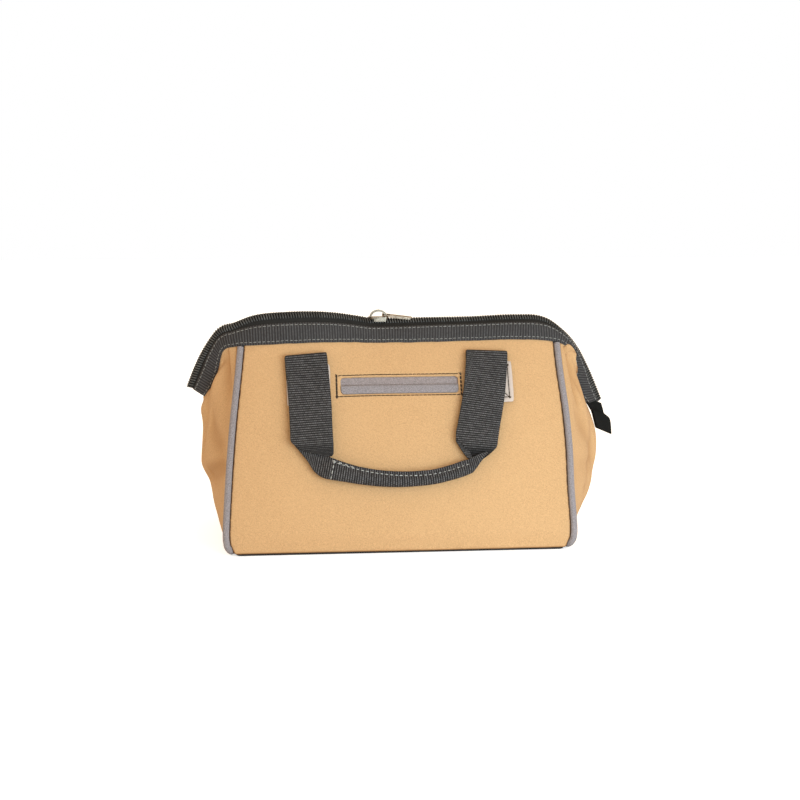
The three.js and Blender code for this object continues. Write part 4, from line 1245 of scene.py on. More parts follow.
# Canvas: the panels' grid, and the reach and height of each way in which their cloth strays
PANEL_WIDTH = 301.0
PANEL_HEIGHT = 178.0
PANEL_COLUMN = 2.0
PANEL_ROW = 1.55
SEAM_STOPS = (-2.05, -1.05, -0.3, 0, 0.5, 1.1, 1.8, 2.7, 4, 6)
FOOT_STOPS = (0, 0.7, 1.6, 3)
PANEL_WAVES = ((0.8, 55, 1), (0.35, 19, 2))
PANEL_SINK = 0.45
CALM_SHARE = 0.75
CALM_MIDDLE = 3
CALM_ACROSS = (75, 55)
CALM_UP = (70, 85)
PUCKER = (6, 0.22)
PUCKER_TURN = 0.62
PUCKER_STRAY = 2.5
FOOT_REACH = 5
FOOT_DIP = (0.7, 0.5)
RIM_DIP = (0.9, 0.75)
RIM_ROLL = (1.1, 0.25)
RIM_ROLL_FROM = 1.6
STITCH_DIP = (0.8, 0.3)
# Reach and height of the painted shade in the turned seams by the piping and along the foot by the base.
SEAM_SHADE = (0.6, 0.8)
FOOT_SHADE = (0.8, 0.85)


def spread(total, near, step):
    """Shares of a length from edge to edge, closer together by both edges."""
    inner = np.arange(near[-1] + step, total - near[-1] - step / 2, step)
    places = np.concatenate([near, inner, total - np.asarray(near)[::-1]])
    return places / total


def tucked(seam):
    """How far the canvas turns in by a seam, and behind its piping."""
    if seam >= 0:
        return TUCK[0][1] * hill(seam, TUCK_REACH)
    past, depth = zip(*TUCK)
    return float(np.interp(-seam, past, depth))


def panel_lift(side, x, z, seam, foot, slack):
    """How far the canvas strays from the plain panel: slack, puckers, rolled seams and the pocket's frame."""
    point = (x, side * 40, z)
    calm = 1 - CALM_SHARE * smoothstep(abs(x - CALM_MIDDLE), *CALM_ACROSS) * smoothstep(z, *CALM_UP)
    lift = slack * calm * (waves_at(point, PANEL_WAVES) - PANEL_SINK)
    pucker = math.sin(z * PUCKER_TURN + PUCKER_STRAY * wave_at(point, 40, 4))
    lift += hill(seam, *PUCKER) * pucker - tucked(seam)
    lift += hill(foot, FOOT_REACH, FOOT_ROLL) - hill(foot, *FOOT_DIP)
    if side == FRONT:
        rim = box_distance(x, z, WINDOW, WINDOW_CORNER)
        line = abs(box_distance(x, z, POCKET_STITCH, 1.0))
        lift -= hill(rim, *RIM_DIP) + hill(line, *STITCH_DIP)
        lift += hill(rim - RIM_ROLL_FROM, *RIM_ROLL)
    return lift


def panel_grid(side):
    """The canvas of one panel: its outer points, UV in millimetres, painted shade by its seams and foot, and
    the pocket's hole.
    """
    columns = spread(PANEL_WIDTH, SEAM_STOPS, PANEL_COLUMN)
    rows = spread(PANEL_HEIGHT, FOOT_STOPS, PANEL_ROW)
    slack = sizes().slack / MM
    _, top_half, top_shift, _, _ = BODY.rows[-1]
    flat = np.zeros((len(rows), len(columns), 2))
    for c, share in enumerate(columns):
        top_x = top_shift + lerp(-1, 1, share) * (top_half - SEAM_TRIM)
        top = mouth_at(side, top_x)[0].z - SEWN_GAP
        for r, climb in enumerate(rows):
            z = lerp(PANEL_FOOT, top, climb)
            _, half_width, shift, _, _ = BODY.at(z)
            flat[r, c] = (shift + lerp(-1, 1, share) * (half_width - SEAM_TRIM), z)
    gone = np.zeros((len(rows) - 1, len(columns) - 1), bool)
    if side == FRONT:
        middle = (flat[:-1, :-1] + flat[1:, :-1] + flat[:-1, 1:] + flat[1:, 1:]) / 4
        for r, c in np.ndindex(gone.shape):
            gone[r, c] = box_distance(*middle[r, c], WINDOW, WINDOW_CORNER) < 0
        snap_to_window(flat, gone)
    grid = np.zeros((len(rows), len(columns), 3))
    lift = np.zeros(grid.shape[:2])
    painted_shade = np.zeros(grid.shape[:2])
    for r, c in np.ndindex(lift.shape):
        x, z = flat[r, c]
        grid[r, c] = on_panel(side, x, z)
        seam = min(columns[c], 1 - columns[c]) * PANEL_WIDTH
        foot = rows[r] * PANEL_HEIGHT
        lift[r, c] = panel_lift(side, x, z, seam, foot, slack)
        # Painted shade where shadow falls in the turned seams and along the foot against the base.
        painted_shade[r, c] = max(hill(max(seam, 0), *SEAM_SHADE), hill(foot, *FOOT_SHADE))
    outer = grid + grid_normals(grid, (0, side, 0)) * lift[:, :, None]
    return outer, flat, painted_shade, gone


def snap_to_window(flat, gone):
    """Moves the points round the hole on to the window's outline."""
    rows, columns = flat.shape[:2]
    for r, c in np.ndindex(rows, columns):
        cells = [gone[i, k] for i in (r - 1, r) for k in (c - 1, c)
                 if 0 <= i < rows - 1 and 0 <= k < columns - 1]
        if all(cells) or not any(cells):
            continue
        x, z = flat[r, c]
        off = box_distance(x, z, WINDOW, WINDOW_CORNER)
        step = 0.05
        slope_x = box_distance(x + step, z, WINDOW, WINDOW_CORNER) - off
        slope_z = box_distance(x, z + step, WINDOW, WINDOW_CORNER) - off
        size = max(math.hypot(slope_x, slope_z), 1e-6)
        flat[r, c] = (x - off * slope_x / size, z - off * slope_z / size)


class TOOLBAG_OT_panels(bpy.types.Operator):
    """Makes the two leaning canvas panels, with the pocket's window in the front one"""

    bl_idname = "tool_bag.panels"
    bl_label = "Canvas Panels"

    def execute(self, context):
        for word, side in SIDES:
            outer, flat, painted_shade, gone = panel_grid(side)
            inner = outer - grid_normals(outer, (0, side, 0)) * CANVAS_THICK
            panel = cloth_wall(f"{word}_canvas", outer, inner, flat, finish_named("tan_canvas"), painted_shade, gone)
            finish_piece(panel, "bag", "canvas_tan", f"{word}_panel")
        return {"FINISHED"}


def shoulder_flap(end, u, v):
    """How the right gusset's pleat stands out and laps over the band at the front shoulder."""
    if end == LEFT or u > 0:
        return Vector((0, 0, 0))
    low_end = 1 - 0.5 * smoothstep(u, *FLAP_LOW)
    starts, ends = FLAP_LAPPED
    lapped = smoothstep(u, *starts) * low_end * (1 - smoothstep(u, *ends))
    starts, ends = FLAP_RAISED
    raised = smoothstep(u, *starts) * low_end * (1 - smoothstep(u, *ends))
    lap = FLAP_LAP_WAY * FLAP_LAP * smoothstep(v, *FLAP_LAP_RISE)
    proud = FLAP_PROUD_WAY * FLAP_PROUD * smoothstep(v, *FLAP_PROUD_RISE)
    return lap * lapped + proud * raised


def gusset_grid(end):
    """The canvas of one gusset: its outer points, UV in millimetres and painted shade by its seams and in its
    creases.
    """
    samples = 120
    steps = 84
    rows = 72
    slack = sizes().slack / MM
    places = [lerp(-1, 1, i / samples) for i in range(samples + 1)]
    hidden = (1.5, 0.8, 0.3)
    starts, ends = GUSSET_SLACK
    columns = steps + 1 + 2 * len(hidden)
    grid = np.zeros((rows + 1, columns, 3))
    uv = np.zeros((rows + 1, columns, 2))
    painted_shade = np.zeros((rows + 1, columns))
    for r in range(rows + 1):
        v = (r / rows) ** GUSSET_ROW_POWER
        line = np.array([on_gusset(end, u, v) for u in places])
        run = np.concatenate([[0], np.cumsum(np.linalg.norm(np.diff(line, axis=0), axis=1))])
        total = run[-1]
        stops = [GUSSET_TRIM - past for past in hidden]
        stops.extend(lerp(GUSSET_TRIM, total - GUSSET_TRIM, i / steps) for i in range(steps + 1))
        stops.extend(total - GUSSET_TRIM + past for past in reversed(hidden))
        for c, place in enumerate(stops):
            u = float(np.interp(place, run, places))
            point = Vector([float(np.interp(place, run, line[:, k])) for k in range(3)])
            inward = Vector((-point.x, -point.y, 0)).normalized()
            broad = fold_depth(FOLDS, end, u, v)
            fine = fold_depth(FINE_FOLDS, end, u, v)
            dent = broad + fine
            seam = min(place, total - place) - GUSSET_TRIM
            settled = smoothstep(v, *starts) * (1 - smoothstep(v, *ends))
            waves = waves_at(point, GUSSET_WAVES, end) - GUSSET_SINK
            dent -= slack * settled * waves * smoothstep(seam, 0, GUSSET_SLACK_SEAM)
            dent += tucked(seam)
            grid[r, c] = point + inward * dent + shoulder_flap(end, u, v)
            uv[r, c] = (place - total / 2, 0)
            # Painted shade in the creases, stopping short of the seams, and by the seams where shadow falls.
            painted_crease_shade = CREASE_SHADE[end] * smoothstep(broad / 2 + fine, *CREASE_DEPTH)
            painted_crease_shade *= 1 - smoothstep(abs(u), *CREASE_EDGE)
            painted_shade[r, c] = max(painted_crease_shade, hill(max(seam, 0), *GUSSET_SHADE))
    climb = np.linalg.norm(np.diff(grid, axis=0), axis=2)
    uv[1:, :, 1] = np.cumsum(climb, axis=0)
    return grid, uv, painted_shade


class TOOLBAG_OT_gussets(bpy.types.Operator):
    """Makes the two bulging canvas ends with their creases"""

    bl_idname = "tool_bag.gussets"
    bl_label = "Canvas Gussets"

    def execute(self, context):
        for word, end in ENDS:
            outer, uv, painted_shade = gusset_grid(end)
            inner = outer - grid_normals(outer, (end, 0, 0)) * CANVAS_THICK
            gusset = cloth_wall(f"{word}_gusset_canvas", outer, inner, uv, finish_named("tan_canvas"), painted_shade)
            finish_piece(gusset, "bag", "canvas_tan", f"{word}_gusset")
        return {"FINISHED"}


class TOOLBAG_OT_base(bpy.types.Operator):
    """Makes the flat base in coated cloth"""

    bl_idname = "tool_bag.base"
    bl_label = "Base"

    def execute(self, context):
        base = node_copy("base_panel", "base_cloth", 0.0007, finish_named("coated_black"))
        for vertex in base.data.vertices:
            vertex.co.x *= BASE_INSET[0]
            vertex.co.y *= BASE_INSET[1]
        finish_piece(base, "bag", "base_black", "base_panel")
        return {"FINISHED"}


def piping_path(end):
    """The seam of one end: down the front, under the base and up the back."""
    bend = PIPING_BASE_Z + PIPING_TURN
    top = seam_top(end).z - PIPING_END * PIPING_RADIUS - SEWN_GAP
    seam_steps = 70
    bend_steps = 12
    front = [seam_at(end, FRONT, lerp(top, bend, i / seam_steps)) for i in range(seam_steps + 1)]
    corner = front[-1]
    for i in range(1, bend_steps + 1):
        angle = i / bend_steps * math.pi / 2
        x = lerp(corner.x, end * PIPING_BASE_X, math.sin(angle) ** 2)
        y = corner.y + PIPING_TURN * (1 - math.cos(angle))
        z = bend - PIPING_TURN * math.sin(angle)
        front.append(Vector((x, y, z)))
    back = [Vector((p.x, -p.y, p.z)) for p in reversed(front)]
    return front + back


class TOOLBAG_OT_piping(bpy.types.Operator):
    """Makes the grey piping along the corner seams and under the base"""

    bl_idname = "tool_bag.piping"
    bl_label = "Piping"

    def execute(self, context):
        for word, end in ENDS:
            run = [(point, (end, 0, 0)) for point in piping_path(end)]
            piping = grow(f"{word}_corded_piping", [run], piping_tree(), Radius=PIPING_RADIUS * MM,
                          Material=finish_named("grey_felt"))
            finish_piece(piping, "bag", "piping_grey", f"{word}_piping")
        return {"FINISHED"}


# The mouth
def mouth_run(side, step, lower, upper):
    """Even stations along the mouth: start, rise, outward normal, rise's length and distance along."""
    places = []
    for a, b in zip(MOUTH.rows[:-1], MOUTH.rows[1:]):
        places.extend(np.linspace(a[0], b[0], 40, endpoint=False))
    places.append(MOUTH.rows[-1][0])
    marks = [mouth_at(side, x) for x in places]
    middle = np.array([(m[lower] + m[upper]) / 2 for m in marks])
    run = np.concatenate([[0], np.cumsum(np.linalg.norm(np.diff(middle, axis=0), axis=1))])
    count = int(round(run[-1] / step))
    distances = np.linspace(0, run[-1], count + 1)
    feet = np.interp(distances, run, places)
    stations = [mouth_at(side, x) for x in feet]
    low = np.array([m[lower] for m in stations])
    high = np.array([m[upper] for m in stations])
    extra = np.arange(1, int(BAND_OVERRUN / step) + 1)
    low = np.concatenate([low, low[-1] + np.outer(extra, low[-1] - low[-2])])
    high = np.concatenate([high, high[-1] + np.outer(extra, high[-1] - high[-2])])
    distances = np.concatenate([distances, distances[-1] + extra * step])
    along = np.gradient(low + high, axis=0)
    rise = high - low
    length = np.linalg.norm(rise, axis=1)
    normal = np.cross(along, rise) * -side
    normal /= np.linalg.norm(normal, axis=1, keepdims=True)
    return low, rise / length[:, None], normal, length, distances


def band_section(length, wave, rib):
    """The band's section as (reach up, distance out) pairs: a lip over the canvas and a facing behind."""
    top = length + BAND_HEM
    return (
        (-0.7 + wave, 0.4), (-1.0 + wave, 0.75), (-0.7 + wave, 1.15), (0.6 + wave, 1.35 + rib * 0.6),
        (0.28 * length, 1.6 + rib), (0.5 * length, 1.7 + rib), (0.75 * length, 1.6 + rib),
        (top - 1.0, 1.3 + rib * 0.6), (top - 0.3, 0.95), (top, 0.3), (top - 0.3, -0.6),
        (length - 0.8, -1.25), (0.5 * length, -1.7 - rib), (1.0, -1.95), (-3.2 + wave, -2.5),
        (-3.6 + wave, -2.25), (-3.2 + wave, -2.0), (0.0, -1.75), (0.1, 0.35),
    )


def band_wave(distance, side):
    """How the band's lower edge wanders along the mouth."""
    return waves_at((distance, side * 9, 0), BAND_WAVES)


class TOOLBAG_OT_bands(bpy.types.Operator):
    """Makes the ribbed bands round the mouth"""

    bl_idname = "tool_bag.bands"
    bl_label = "Bands"

    def execute(self, context):
        pitch = sizes().band_rib / MM
        height = sizes().band_rib_height / MM
        for word, side in SIDES:
            low, rise, normal, length, distances = mouth_run(side, pitch / RIB_STEPS, 0, 1)
            loops = []
            uv = []
            for k, distance in enumerate(distances):
                rib = height * 0.5 * (1 - math.cos(2 * math.pi * distance / pitch))
                wave = band_wave(distance, side) - pinch_at(side, low[k])
                section = band_section(length[k], wave, rib)
                loops.append([low[k] + rise[k] * a + normal[k] * b for a, b in section])
                uv.append([(a, distance) for a, _ in section])
            band = loft(f"{word}_ribbed_band", [(loops, uv)], finish_named("charcoal_band"), 60)
            finish_piece(band, "bag", "band_black", f"{word}_band")
        return {"FINISHED"}


# The zip's tapes, where they meet, and where the coil lies on them
TAPE_HALF = 0.5
ZIP_STEP = 1.5
TAPE_PAST = 1.1
TAPE_TIP = 4
ZIP_CLOSED = (-14, -8)
COIL_FROM_EDGE = 1.8
COIL_PROUD = 0.6


class TOOLBAG_OT_zip(bpy.types.Operator):
    """Makes the zip's tapes, the turns of its coils and its tail"""

    bl_idname = "tool_bag.zip"
    bl_label = "Zip"

    def execute(self, context):
        size = sizes()
        for word, side in SIDES:
            low, rise, normal, length, distances = mouth_run(side, ZIP_STEP, 1, 2)
            loops = []
            uv = []
            guide = []
            for k, distance in enumerate(distances):
                far = length[k] + TAPE_PAST
                section = ((0.3, TAPE_HALF), (far * 0.33, TAPE_HALF), (far * 0.66, TAPE_HALF),
                           (far, TAPE_HALF * 0.9), (far + 0.4, 0), (far, -TAPE_HALF * 0.9),
                           (far * 0.5, -TAPE_HALF), (0.3, -TAPE_HALF))
                loop = [low[k] + rise[k] * a + normal[k] * b for a, b in section]
                loop[TAPE_TIP][1] *= 1 - smoothstep(loop[TAPE_TIP][0], *ZIP_CLOSED)
                loops.append(loop)
                uv.append([(a, distance) for a, _ in section])
                edge = low[k] + rise[k] * (length[k] - COIL_FROM_EDGE)
                guide.append((edge + normal[k] * COIL_PROUD, tuple(normal[k])))
            if side == BACK:
                half_turn = size.coil_pitch / MM / 2 / ZIP_STEP
                guide[0] = (guide[0][0] + (guide[1][0] - guide[0][0]) * half_turn, guide[0][1])
            tape = loft(f"{word}_woven_tape", [(loops, uv)], finish_named("zip_tape_black"), 60)
            finish_piece(tape, "bag", "zip_black", f"{word}_zip_tape")
            coil = grow(f"{word}_coil", [guide], coil_tree(), Pitch=size.coil_pitch, Wire=size.coil_wire,
                        Slant=0.2 * -side, Material=finish_named("coil_black"))
            finish_piece(coil, "bag", "zip_black")
        finish_piece(zip_tail(), "bag", "zip_black", "zip_tail")
        return {"FINISHED"}


def zip_tail():
    """The folded end of the zip's tape, hanging free at the right."""
    rows = []
    run = 0
    lean = math.radians(TAIL_LEAN)
    for i, (x, y, z, turn, width, thick) in enumerate(TAIL):
        before = TAIL[max(i - 1, 0)]
        after = TAIL[min(i + 1, len(TAIL) - 1)]
        along = Vector([b - a for a, b in zip(before[:3], after[:3])]).normalized()
        angle = math.radians(turn)
        across = Vector((math.cos(angle) * math.cos(lean), math.sin(angle), math.cos(angle) * math.sin(lean)))
        across.normalize()
        out = along.cross(across).normalized()
        if i:
            run += (Vector((x, y, z)) - Vector(TAIL[i - 1][:3])).length
        rows.append((run, x, y, z, *across, *out, width, thick))
    table = Table(*rows)
    steps = 44
    loops = []
    uv = []
    for k in range(steps + 1):
        place = run * k / steps
        _, x, y, z, ax, ay, az, ox, oy, oz, width, thick = table.at(place)
        across = Vector((ax, ay, az)).normalized()
        out = Vector((ox, oy, oz)).normalized()
        past = max(k / steps - TAIL_ROUND, 0) / TAIL_ROUND_RUN
        end = math.sqrt(max(1 - past**2, TAIL_EDGE))
        section = strap_section(width, thick * end)
        centre = Vector((x, y, z))
        loops.append([centre + across * a + out * b for a, b in section])
        uv.append([(a, place) for a, _ in section])
    return loft("folded_zip_tail", [(loops, uv)], finish_named("tail_black"), 60)


# Plating of the slider and its pull and the pull's hinge, in metres, and how the pull leans at rest
PLATING = 0.0003
PULL_HINGE = (-0.009, 0, 0.205067)
PULL_LEAN = math.radians(8)
PULL_DROOP = math.radians(4)


class TOOLBAG_OT_slider(bpy.types.Operator):
    """Makes the plated slider and its pull"""

    bl_idname = "tool_bag.slider"
    bl_label = "Slider And Pull"

    def execute(self, context):
        slider = node_copy("zip_slider", "plated_slider", 0.0004, finish_named("shaded_slider_nickel"), PLATING)
        finish_piece(slider, "bag", "nickel", "zip_slider")
        pull = node_copy("zip_pull", "plated_pull", 0.0004, finish_named("lit_pull_nickel"), PLATING)
        hinge = Matrix.Translation(PULL_HINGE)
        settle = Matrix.Rotation(PULL_DROOP, 4, "Y") @ Matrix.Rotation(PULL_LEAN, 4, "X")
        pull.data.transform(hinge @ settle @ hinge.inverted())
        finish_piece(pull, "zip_pull", "nickel", "zip_pull")
        return {"FINISHED"}


# Handles
STRAP_STOPS = (-0.985, -0.93, -0.75, -0.5, -0.2, 0.1, 0.35, 0.55, 0.75, 0.93, 0.985)
GRIP_SCALE = 0.94
GRIP_SEAM = (0.64, 0.26)
GRIP_ENDS = (-62, 45)
# Painted shade at the lower ends of the left and right straps, where they tuck under the grip: Z where it
# starts, Z where it is full, and its strength. The fold and the grip have none.
STRAP_TUCK_SHADE = ((99, 93, 0.45), (95, 87, 0.8), None, None)


def grip_seam(x):
    """How high up the grip its stitches run: close to the top at the left, lower at the right."""
    return lerp(*GRIP_SEAM, smoothstep(x, *GRIP_ENDS))


def grip_profile(stop, seam):
    """Half thickness of the folded grip from its round foot (-1) to the two edges sewn together (1)."""
    radius = (1.04 + seam) / 2
    body = math.sqrt(max(1 - ((stop + 1 - radius) / radius) ** 2, 0))
    lip = 0.44 * smoothstep(stop, seam - 0.24, seam + 0.06) * min(1, math.sqrt(max(1 - stop, 0) / 0.05))
    return (body**4 + lip**4) ** 0.25


def strap_half(stop, thick, grip, rib, seam):
    flat = min(1, math.sqrt(max(1 - abs(stop), 0) / 0.03))
    return lerp(flat, grip_profile(stop, seam), grip) * thick / 2 + rib * (1 if abs(stop) < 0.95 else 0.3)


def strap_section(width, thick, grip=0, rib=0, seam=GRIP_SEAM[0]):
    """The strap's section as (across, out) pairs."""
    half_width = width / 2 * lerp(1, GRIP_SCALE, grip)
    face = [(stop * half_width, strap_half(stop, thick, grip, rib, seam)) for stop in STRAP_STOPS]
    back = [(a, -b) for a, b in reversed(face)]
    top = (half_width * lerp(1, 0.86, grip), 0)
    foot = (-half_width, 0)
    return [*face, top, *back, foot]


def sewn_keys(side, x, tilt):
    """The strap's sewn end and the fold at its top, turned a little on the panel."""
    keys = []
    _, across, up, normal = panel_frame(side, x, FOLD_Z)
    angle = math.radians(tilt)
    width_way = across * math.cos(angle) + up * math.sin(angle)
    climb = up * math.cos(angle) - across * math.sin(angle)
    for i in range(7):
        below = lerp(FOLD_Z - SEWN_FOOT, 0, i / 6)
        centre = lifted(side, x + below * math.sin(angle), FOLD_Z - below, SEWN_LIFT)
        keys.append((centre, width_way, -normal, HANDLE_WIDTH, WEB_THICK, 0))
    radius = (HANG_LIFT - SEWN_LIFT) / 2
    middle = lifted(side, x, FOLD_Z, SEWN_LIFT + radius)
    for i in range(1, 8):
        turn = i / 8 * math.pi
        out = climb * math.sin(turn) - normal * math.cos(turn)
        keys.append((middle + out * radius, width_way, out, HANDLE_WIDTH, WEB_THICK, 0))
    return keys


def hanging_keys(side, rows):
    keys = []
    for x, z, lift, turn, width, thick, grip in rows:
        _, _, up, normal = panel_frame(side, x, z)
        angle = math.radians(turn)
        across = (Vector((math.cos(angle), 0, 0)) + up * math.sin(angle)).normalized()
        keys.append((lifted(side, x, z, lift), across, normal, width, thick, grip))
    return keys


def run_table(keys):
    """A strap's centre line with its directions and section, by distance along it, and its length."""
    rows = []
    run = 0
    for i, (centre, across, out, width, thick, grip) in enumerate(keys):
        if i:
            run += (centre - keys[i - 1][0]).length
        rows.append((run, *centre, *across, *out, width, thick, grip))
    return Table(*rows), run


def handle_tables(side):
    """The layers of one handle: two straps, the folded corner at the right and the grip."""
    left = sewn_keys(side, HANDLE_LEFT_X, LEFT_TILT) + hanging_keys(side, LEFT_STRAP)
    right = sewn_keys(side, HANDLE_RIGHT_X, RIGHT_TILT) + hanging_keys(side, RIGHT_STRAP)
    fold = hanging_keys(side, RIGHT_FOLD)
    grip = hanging_keys(side, GRIP_RUN)
    return [run_table(keys) for keys in (left, right, fold, grip)]


def handle_station(table, place):
    _, x, y, z, ax, ay, az, ox, oy, oz, width, thick, grip = table.at(place)
    across = Vector((ax, ay, az)).normalized()
    out = Vector((ox, oy, oz)).normalized()
    return Vector((x, y, z)), across, out, width, thick, clamp(grip)


class TOOLBAG_OT_handles(bpy.types.Operator):
    """Makes the two webbing handles with their folded grips"""

    bl_idname = "tool_bag.handles"
    bl_label = "Handles"

    def execute(self, context):
        pitch = sizes().web_rib / MM
        height = sizes().web_rib_height / MM
        for word, side in SIDES:
            layers = zip(handle_tables(side), STRAP_TUCK_SHADE)
            shells = [self.strap_shell(table, run, pitch, height, tuck_shade) for (table, run), tuck_shade in layers]
            handle = loft(f"{word}_webbing_handle", shells, finish_named("charcoal_webbing"), 70)
            finish_piece(handle, "bag", "webbing_black", f"{word}_handle")
        return {"FINISHED"}

    def strap_shell(self, table, run, pitch, height, tuck_shade):
        """Loops of points, UV and painted shade along one layer of webbing, with its ribs."""
        count = int(run / (pitch / RIB_STEPS))
        loops = []
        uv = []
        painted_shade = []
        for k in range(count + 1):
            place = run * k / count
            centre, across, out, width, thick, grip = handle_station(table, place)
            rib = height * 0.5 * (1 - math.cos(2 * math.pi * place / pitch))
            section = strap_section(width, thick, grip, rib, grip_seam(centre.x))
            loop = [centre + across * a + out * b for a, b in section]
            loops.append(loop)
            uv.append([(a, place) for a, _ in section])
            # Painted shade darkens the strap's end where it tucks under the grip.
            painted_shade.append([smoothstep(point.z, *tuck_shade[:2]) * tuck_shade[2] if tuck_shade else 0 for point in loop])
        return loops, uv, painted_shade


# Patches and pocket
def patch_lines(middle, width):
    """The box and cross sewn on a patch, as lines of (X, Z) places."""
    left = middle - width / 2 + PATCH_HEM
    right = middle + width / 2 - PATCH_HEM
    foot = PATCH_FOOT + PATCH_HEM
    top = PATCH_TOP - PATCH_HEM
    corners = ((left, foot), (right, foot), (right, top), (left, top))
    box = [(corners[i], corners[(i + 1) % 4]) for i in range(4)]
    return [*box, (corners[0], corners[2]), (corners[1], corners[3])]


def line_distance(x, z, line):
    (ax, az), (bx, bz) = line
    t = clamp(((x - ax) * (bx - ax) + (z - az) * (bz - az)) / ((bx - ax) ** 2 + (bz - az) ** 2))
    return math.hypot(x - lerp(ax, bx, t), z - lerp(az, bz, t))


class TOOLBAG_OT_patches(bpy.types.Operator):
    """Makes the off-white patches under the ends of the handles"""

    bl_idname = "tool_bag.patches"
    bl_label = "Patches"

    def execute(self, context):
        steps = 34
        for word, side in SIDES:
            for place, (middle, width) in PATCHES.items():
                self.make_patch(f"{word}_{place}", side, middle, width, steps)
        return {"FINISHED"}

    def make_patch(self, word, side, middle, width, steps):
        outer = np.zeros((steps + 1, steps + 1, 3))
        inner = np.zeros_like(outer)
        uv = np.zeros((steps + 1, steps + 1, 2))
        painted_shade = np.zeros((steps + 1, steps + 1))
        lines = patch_lines(middle, width)
        for r, c in np.ndindex(steps + 1, steps + 1):
            u = lerp(-1, 1, c / steps)
            v = lerp(-1, 1, r / steps)
            pinch = 1 - PATCH_ROUND * (abs(u) * abs(v)) ** 6
            fray = 1 + PATCH_FRAY * wave_at((u * 9, v * 9, side + middle), 1.3, 8)
            x = middle + u * width / 2 * pinch * fray
            z = (PATCH_FOOT + PATCH_TOP) / 2 + v * (PATCH_TOP - PATCH_FOOT) / 2 * pinch * fray
            point, _, _, normal = panel_frame(side, x, z)
            near = min(line_distance(x, z, line) for line in lines)
            edge = (1 - max(abs(u), abs(v))) * width / 2
            dip = hill(near, *PATCH_STITCH_DIP) + hill(edge, *PATCH_EDGE_DIP)
            outer[r, c] = point + normal * (PATCH_LIFT + PATCH_THICK - dip)
            inner[r, c] = point + normal * PATCH_LIFT
            uv[r, c] = (x, z)
            # Painted shade along the sewn lines, where the thread pulls the patch in.
            painted_shade[r, c] = hill(near, *PATCH_SHADE)
        material = finish_named("white_leathercloth")
        patch = cloth_wall(f"{word}_leathercloth", outer, inner, uv, material, painted_shade)
        finish_piece(patch, "bag", "patch_white", f"{word}_patch")


class TOOLBAG_OT_pocket(bpy.types.Operator):
    """Makes the pocket's folded lip and the pouch behind it"""

    bl_idname = "tool_bag.pocket"
    bl_label = "Pocket"

    def execute(self, context):
        self.make_lip()
        self.make_pouch()
        return {"FINISHED"}

    def make_lip(self):
        left, foot, right, _ = WINDOW
        gap = 0.25
        columns = 90
        rows = 16
        outer = np.zeros((rows + 1, columns + 1, 3))
        inner = np.zeros_like(outer)
        uv = np.zeros((rows + 1, columns + 1, 2))
        for r, c in np.ndindex(rows + 1, columns + 1):
            z = lerp(foot + gap, LIP_TOP, r / rows)
            low = max(WINDOW_CORNER - (z - foot), 0)
            inset = gap + WINDOW_CORNER - math.sqrt(max(WINDOW_CORNER**2 - low**2, 0))
            x = lerp(left + inset, right - inset, c / columns)
            climb = r / rows
            crown = 0.35 * math.sin(math.pi * climb) + 0.18 * wave_at((x, 0, z), 12, 11)
            fold = hill((1 - climb) * LIP_FACE, LIP_FOLD)
            point, _, _, normal = panel_frame(FRONT, x, z)
            outer[r, c] = point + normal * (0.1 + crown - fold)
            inner[r, c] = point + normal * (-1.3 + fold * 0.15)
            uv[r, c] = (x, z)
        lip = cloth_wall("grey_pocket_lip", outer, inner, uv, finish_named("grey_felt"))
        finish_piece(lip, "bag", "piping_grey", "pocket_lip")

    def make_pouch(self):
        left, _, right, top = WINDOW
        left -= POUCH_MARGIN
        right += POUCH_MARGIN
        top += POUCH_MARGIN
        columns = 60
        rows = 44
        outer = np.zeros((rows + 1, columns + 1, 3))
        inner = np.zeros_like(outer)
        uv = np.zeros((rows + 1, columns + 1, 2))
        for r, c in np.ndindex(rows + 1, columns + 1):
            x = lerp(left, right, c / columns)
            z = lerp(POUCH_FOOT, top, r / rows)
            border = min(x - left, right - x, z - POUCH_FOOT, top - z)
            slack = lerp(*POUCH_SLACK, smoothstep(z, *POUCH_SLACK_Z))
            sag = slack * smoothstep(border, 0, lerp(*POUCH_EASE, smoothstep(z, *POUCH_EASE_Z)))
            sag += 0.15 * wave_at((x, 0, z), 15, 13)
            point, _, _, normal = panel_frame(FRONT, x, z)
            outer[r, c] = point - normal * (POUCH_RIM + sag)
            inner[r, c] = point - normal * (POUCH_RIM + sag + POUCH_THICK)
            uv[r, c] = (x, z)
        pouch = cloth_wall("grey_pocket_pouch", outer, inner, uv, finish_named("grey_lining"))
        finish_piece(pouch, "bag", "pocket_grey", "pocket_pouch")


# Stitching
def panel_line(side, places, lift):
    """A line of stitches on a panel, through (X, Z) places."""
    run = []
    for x, z in places:
        point, _, _, normal = panel_frame(side, x, z)
        run.append((point + normal * lift, tuple(normal)))
    return run


def straight(a, b, steps):
    return [(lerp(a[0], b[0], i / steps), lerp(a[1], b[1], i / steps)) for i in range(steps + 1)]


def band_rows():
    """The two rows of stitches along each band."""
    runs = []
    for _, side in SIDES:
        low, rise, normal, length, distances = mouth_run(side, 2.0, 0, 1)
        for upper in (False, True):
            run = []
            for k, distance in enumerate(distances):
                reach = length[k] + 0.2 if upper else 1.7 + band_wave(distance, side) - pinch_at(side, low[k])
                out = 1.5 if upper else 1.55
                run.append((low[k] + rise[k] * reach + normal[k] * out, tuple(normal[k])))
            runs.append(run[1:-1])
    return runs


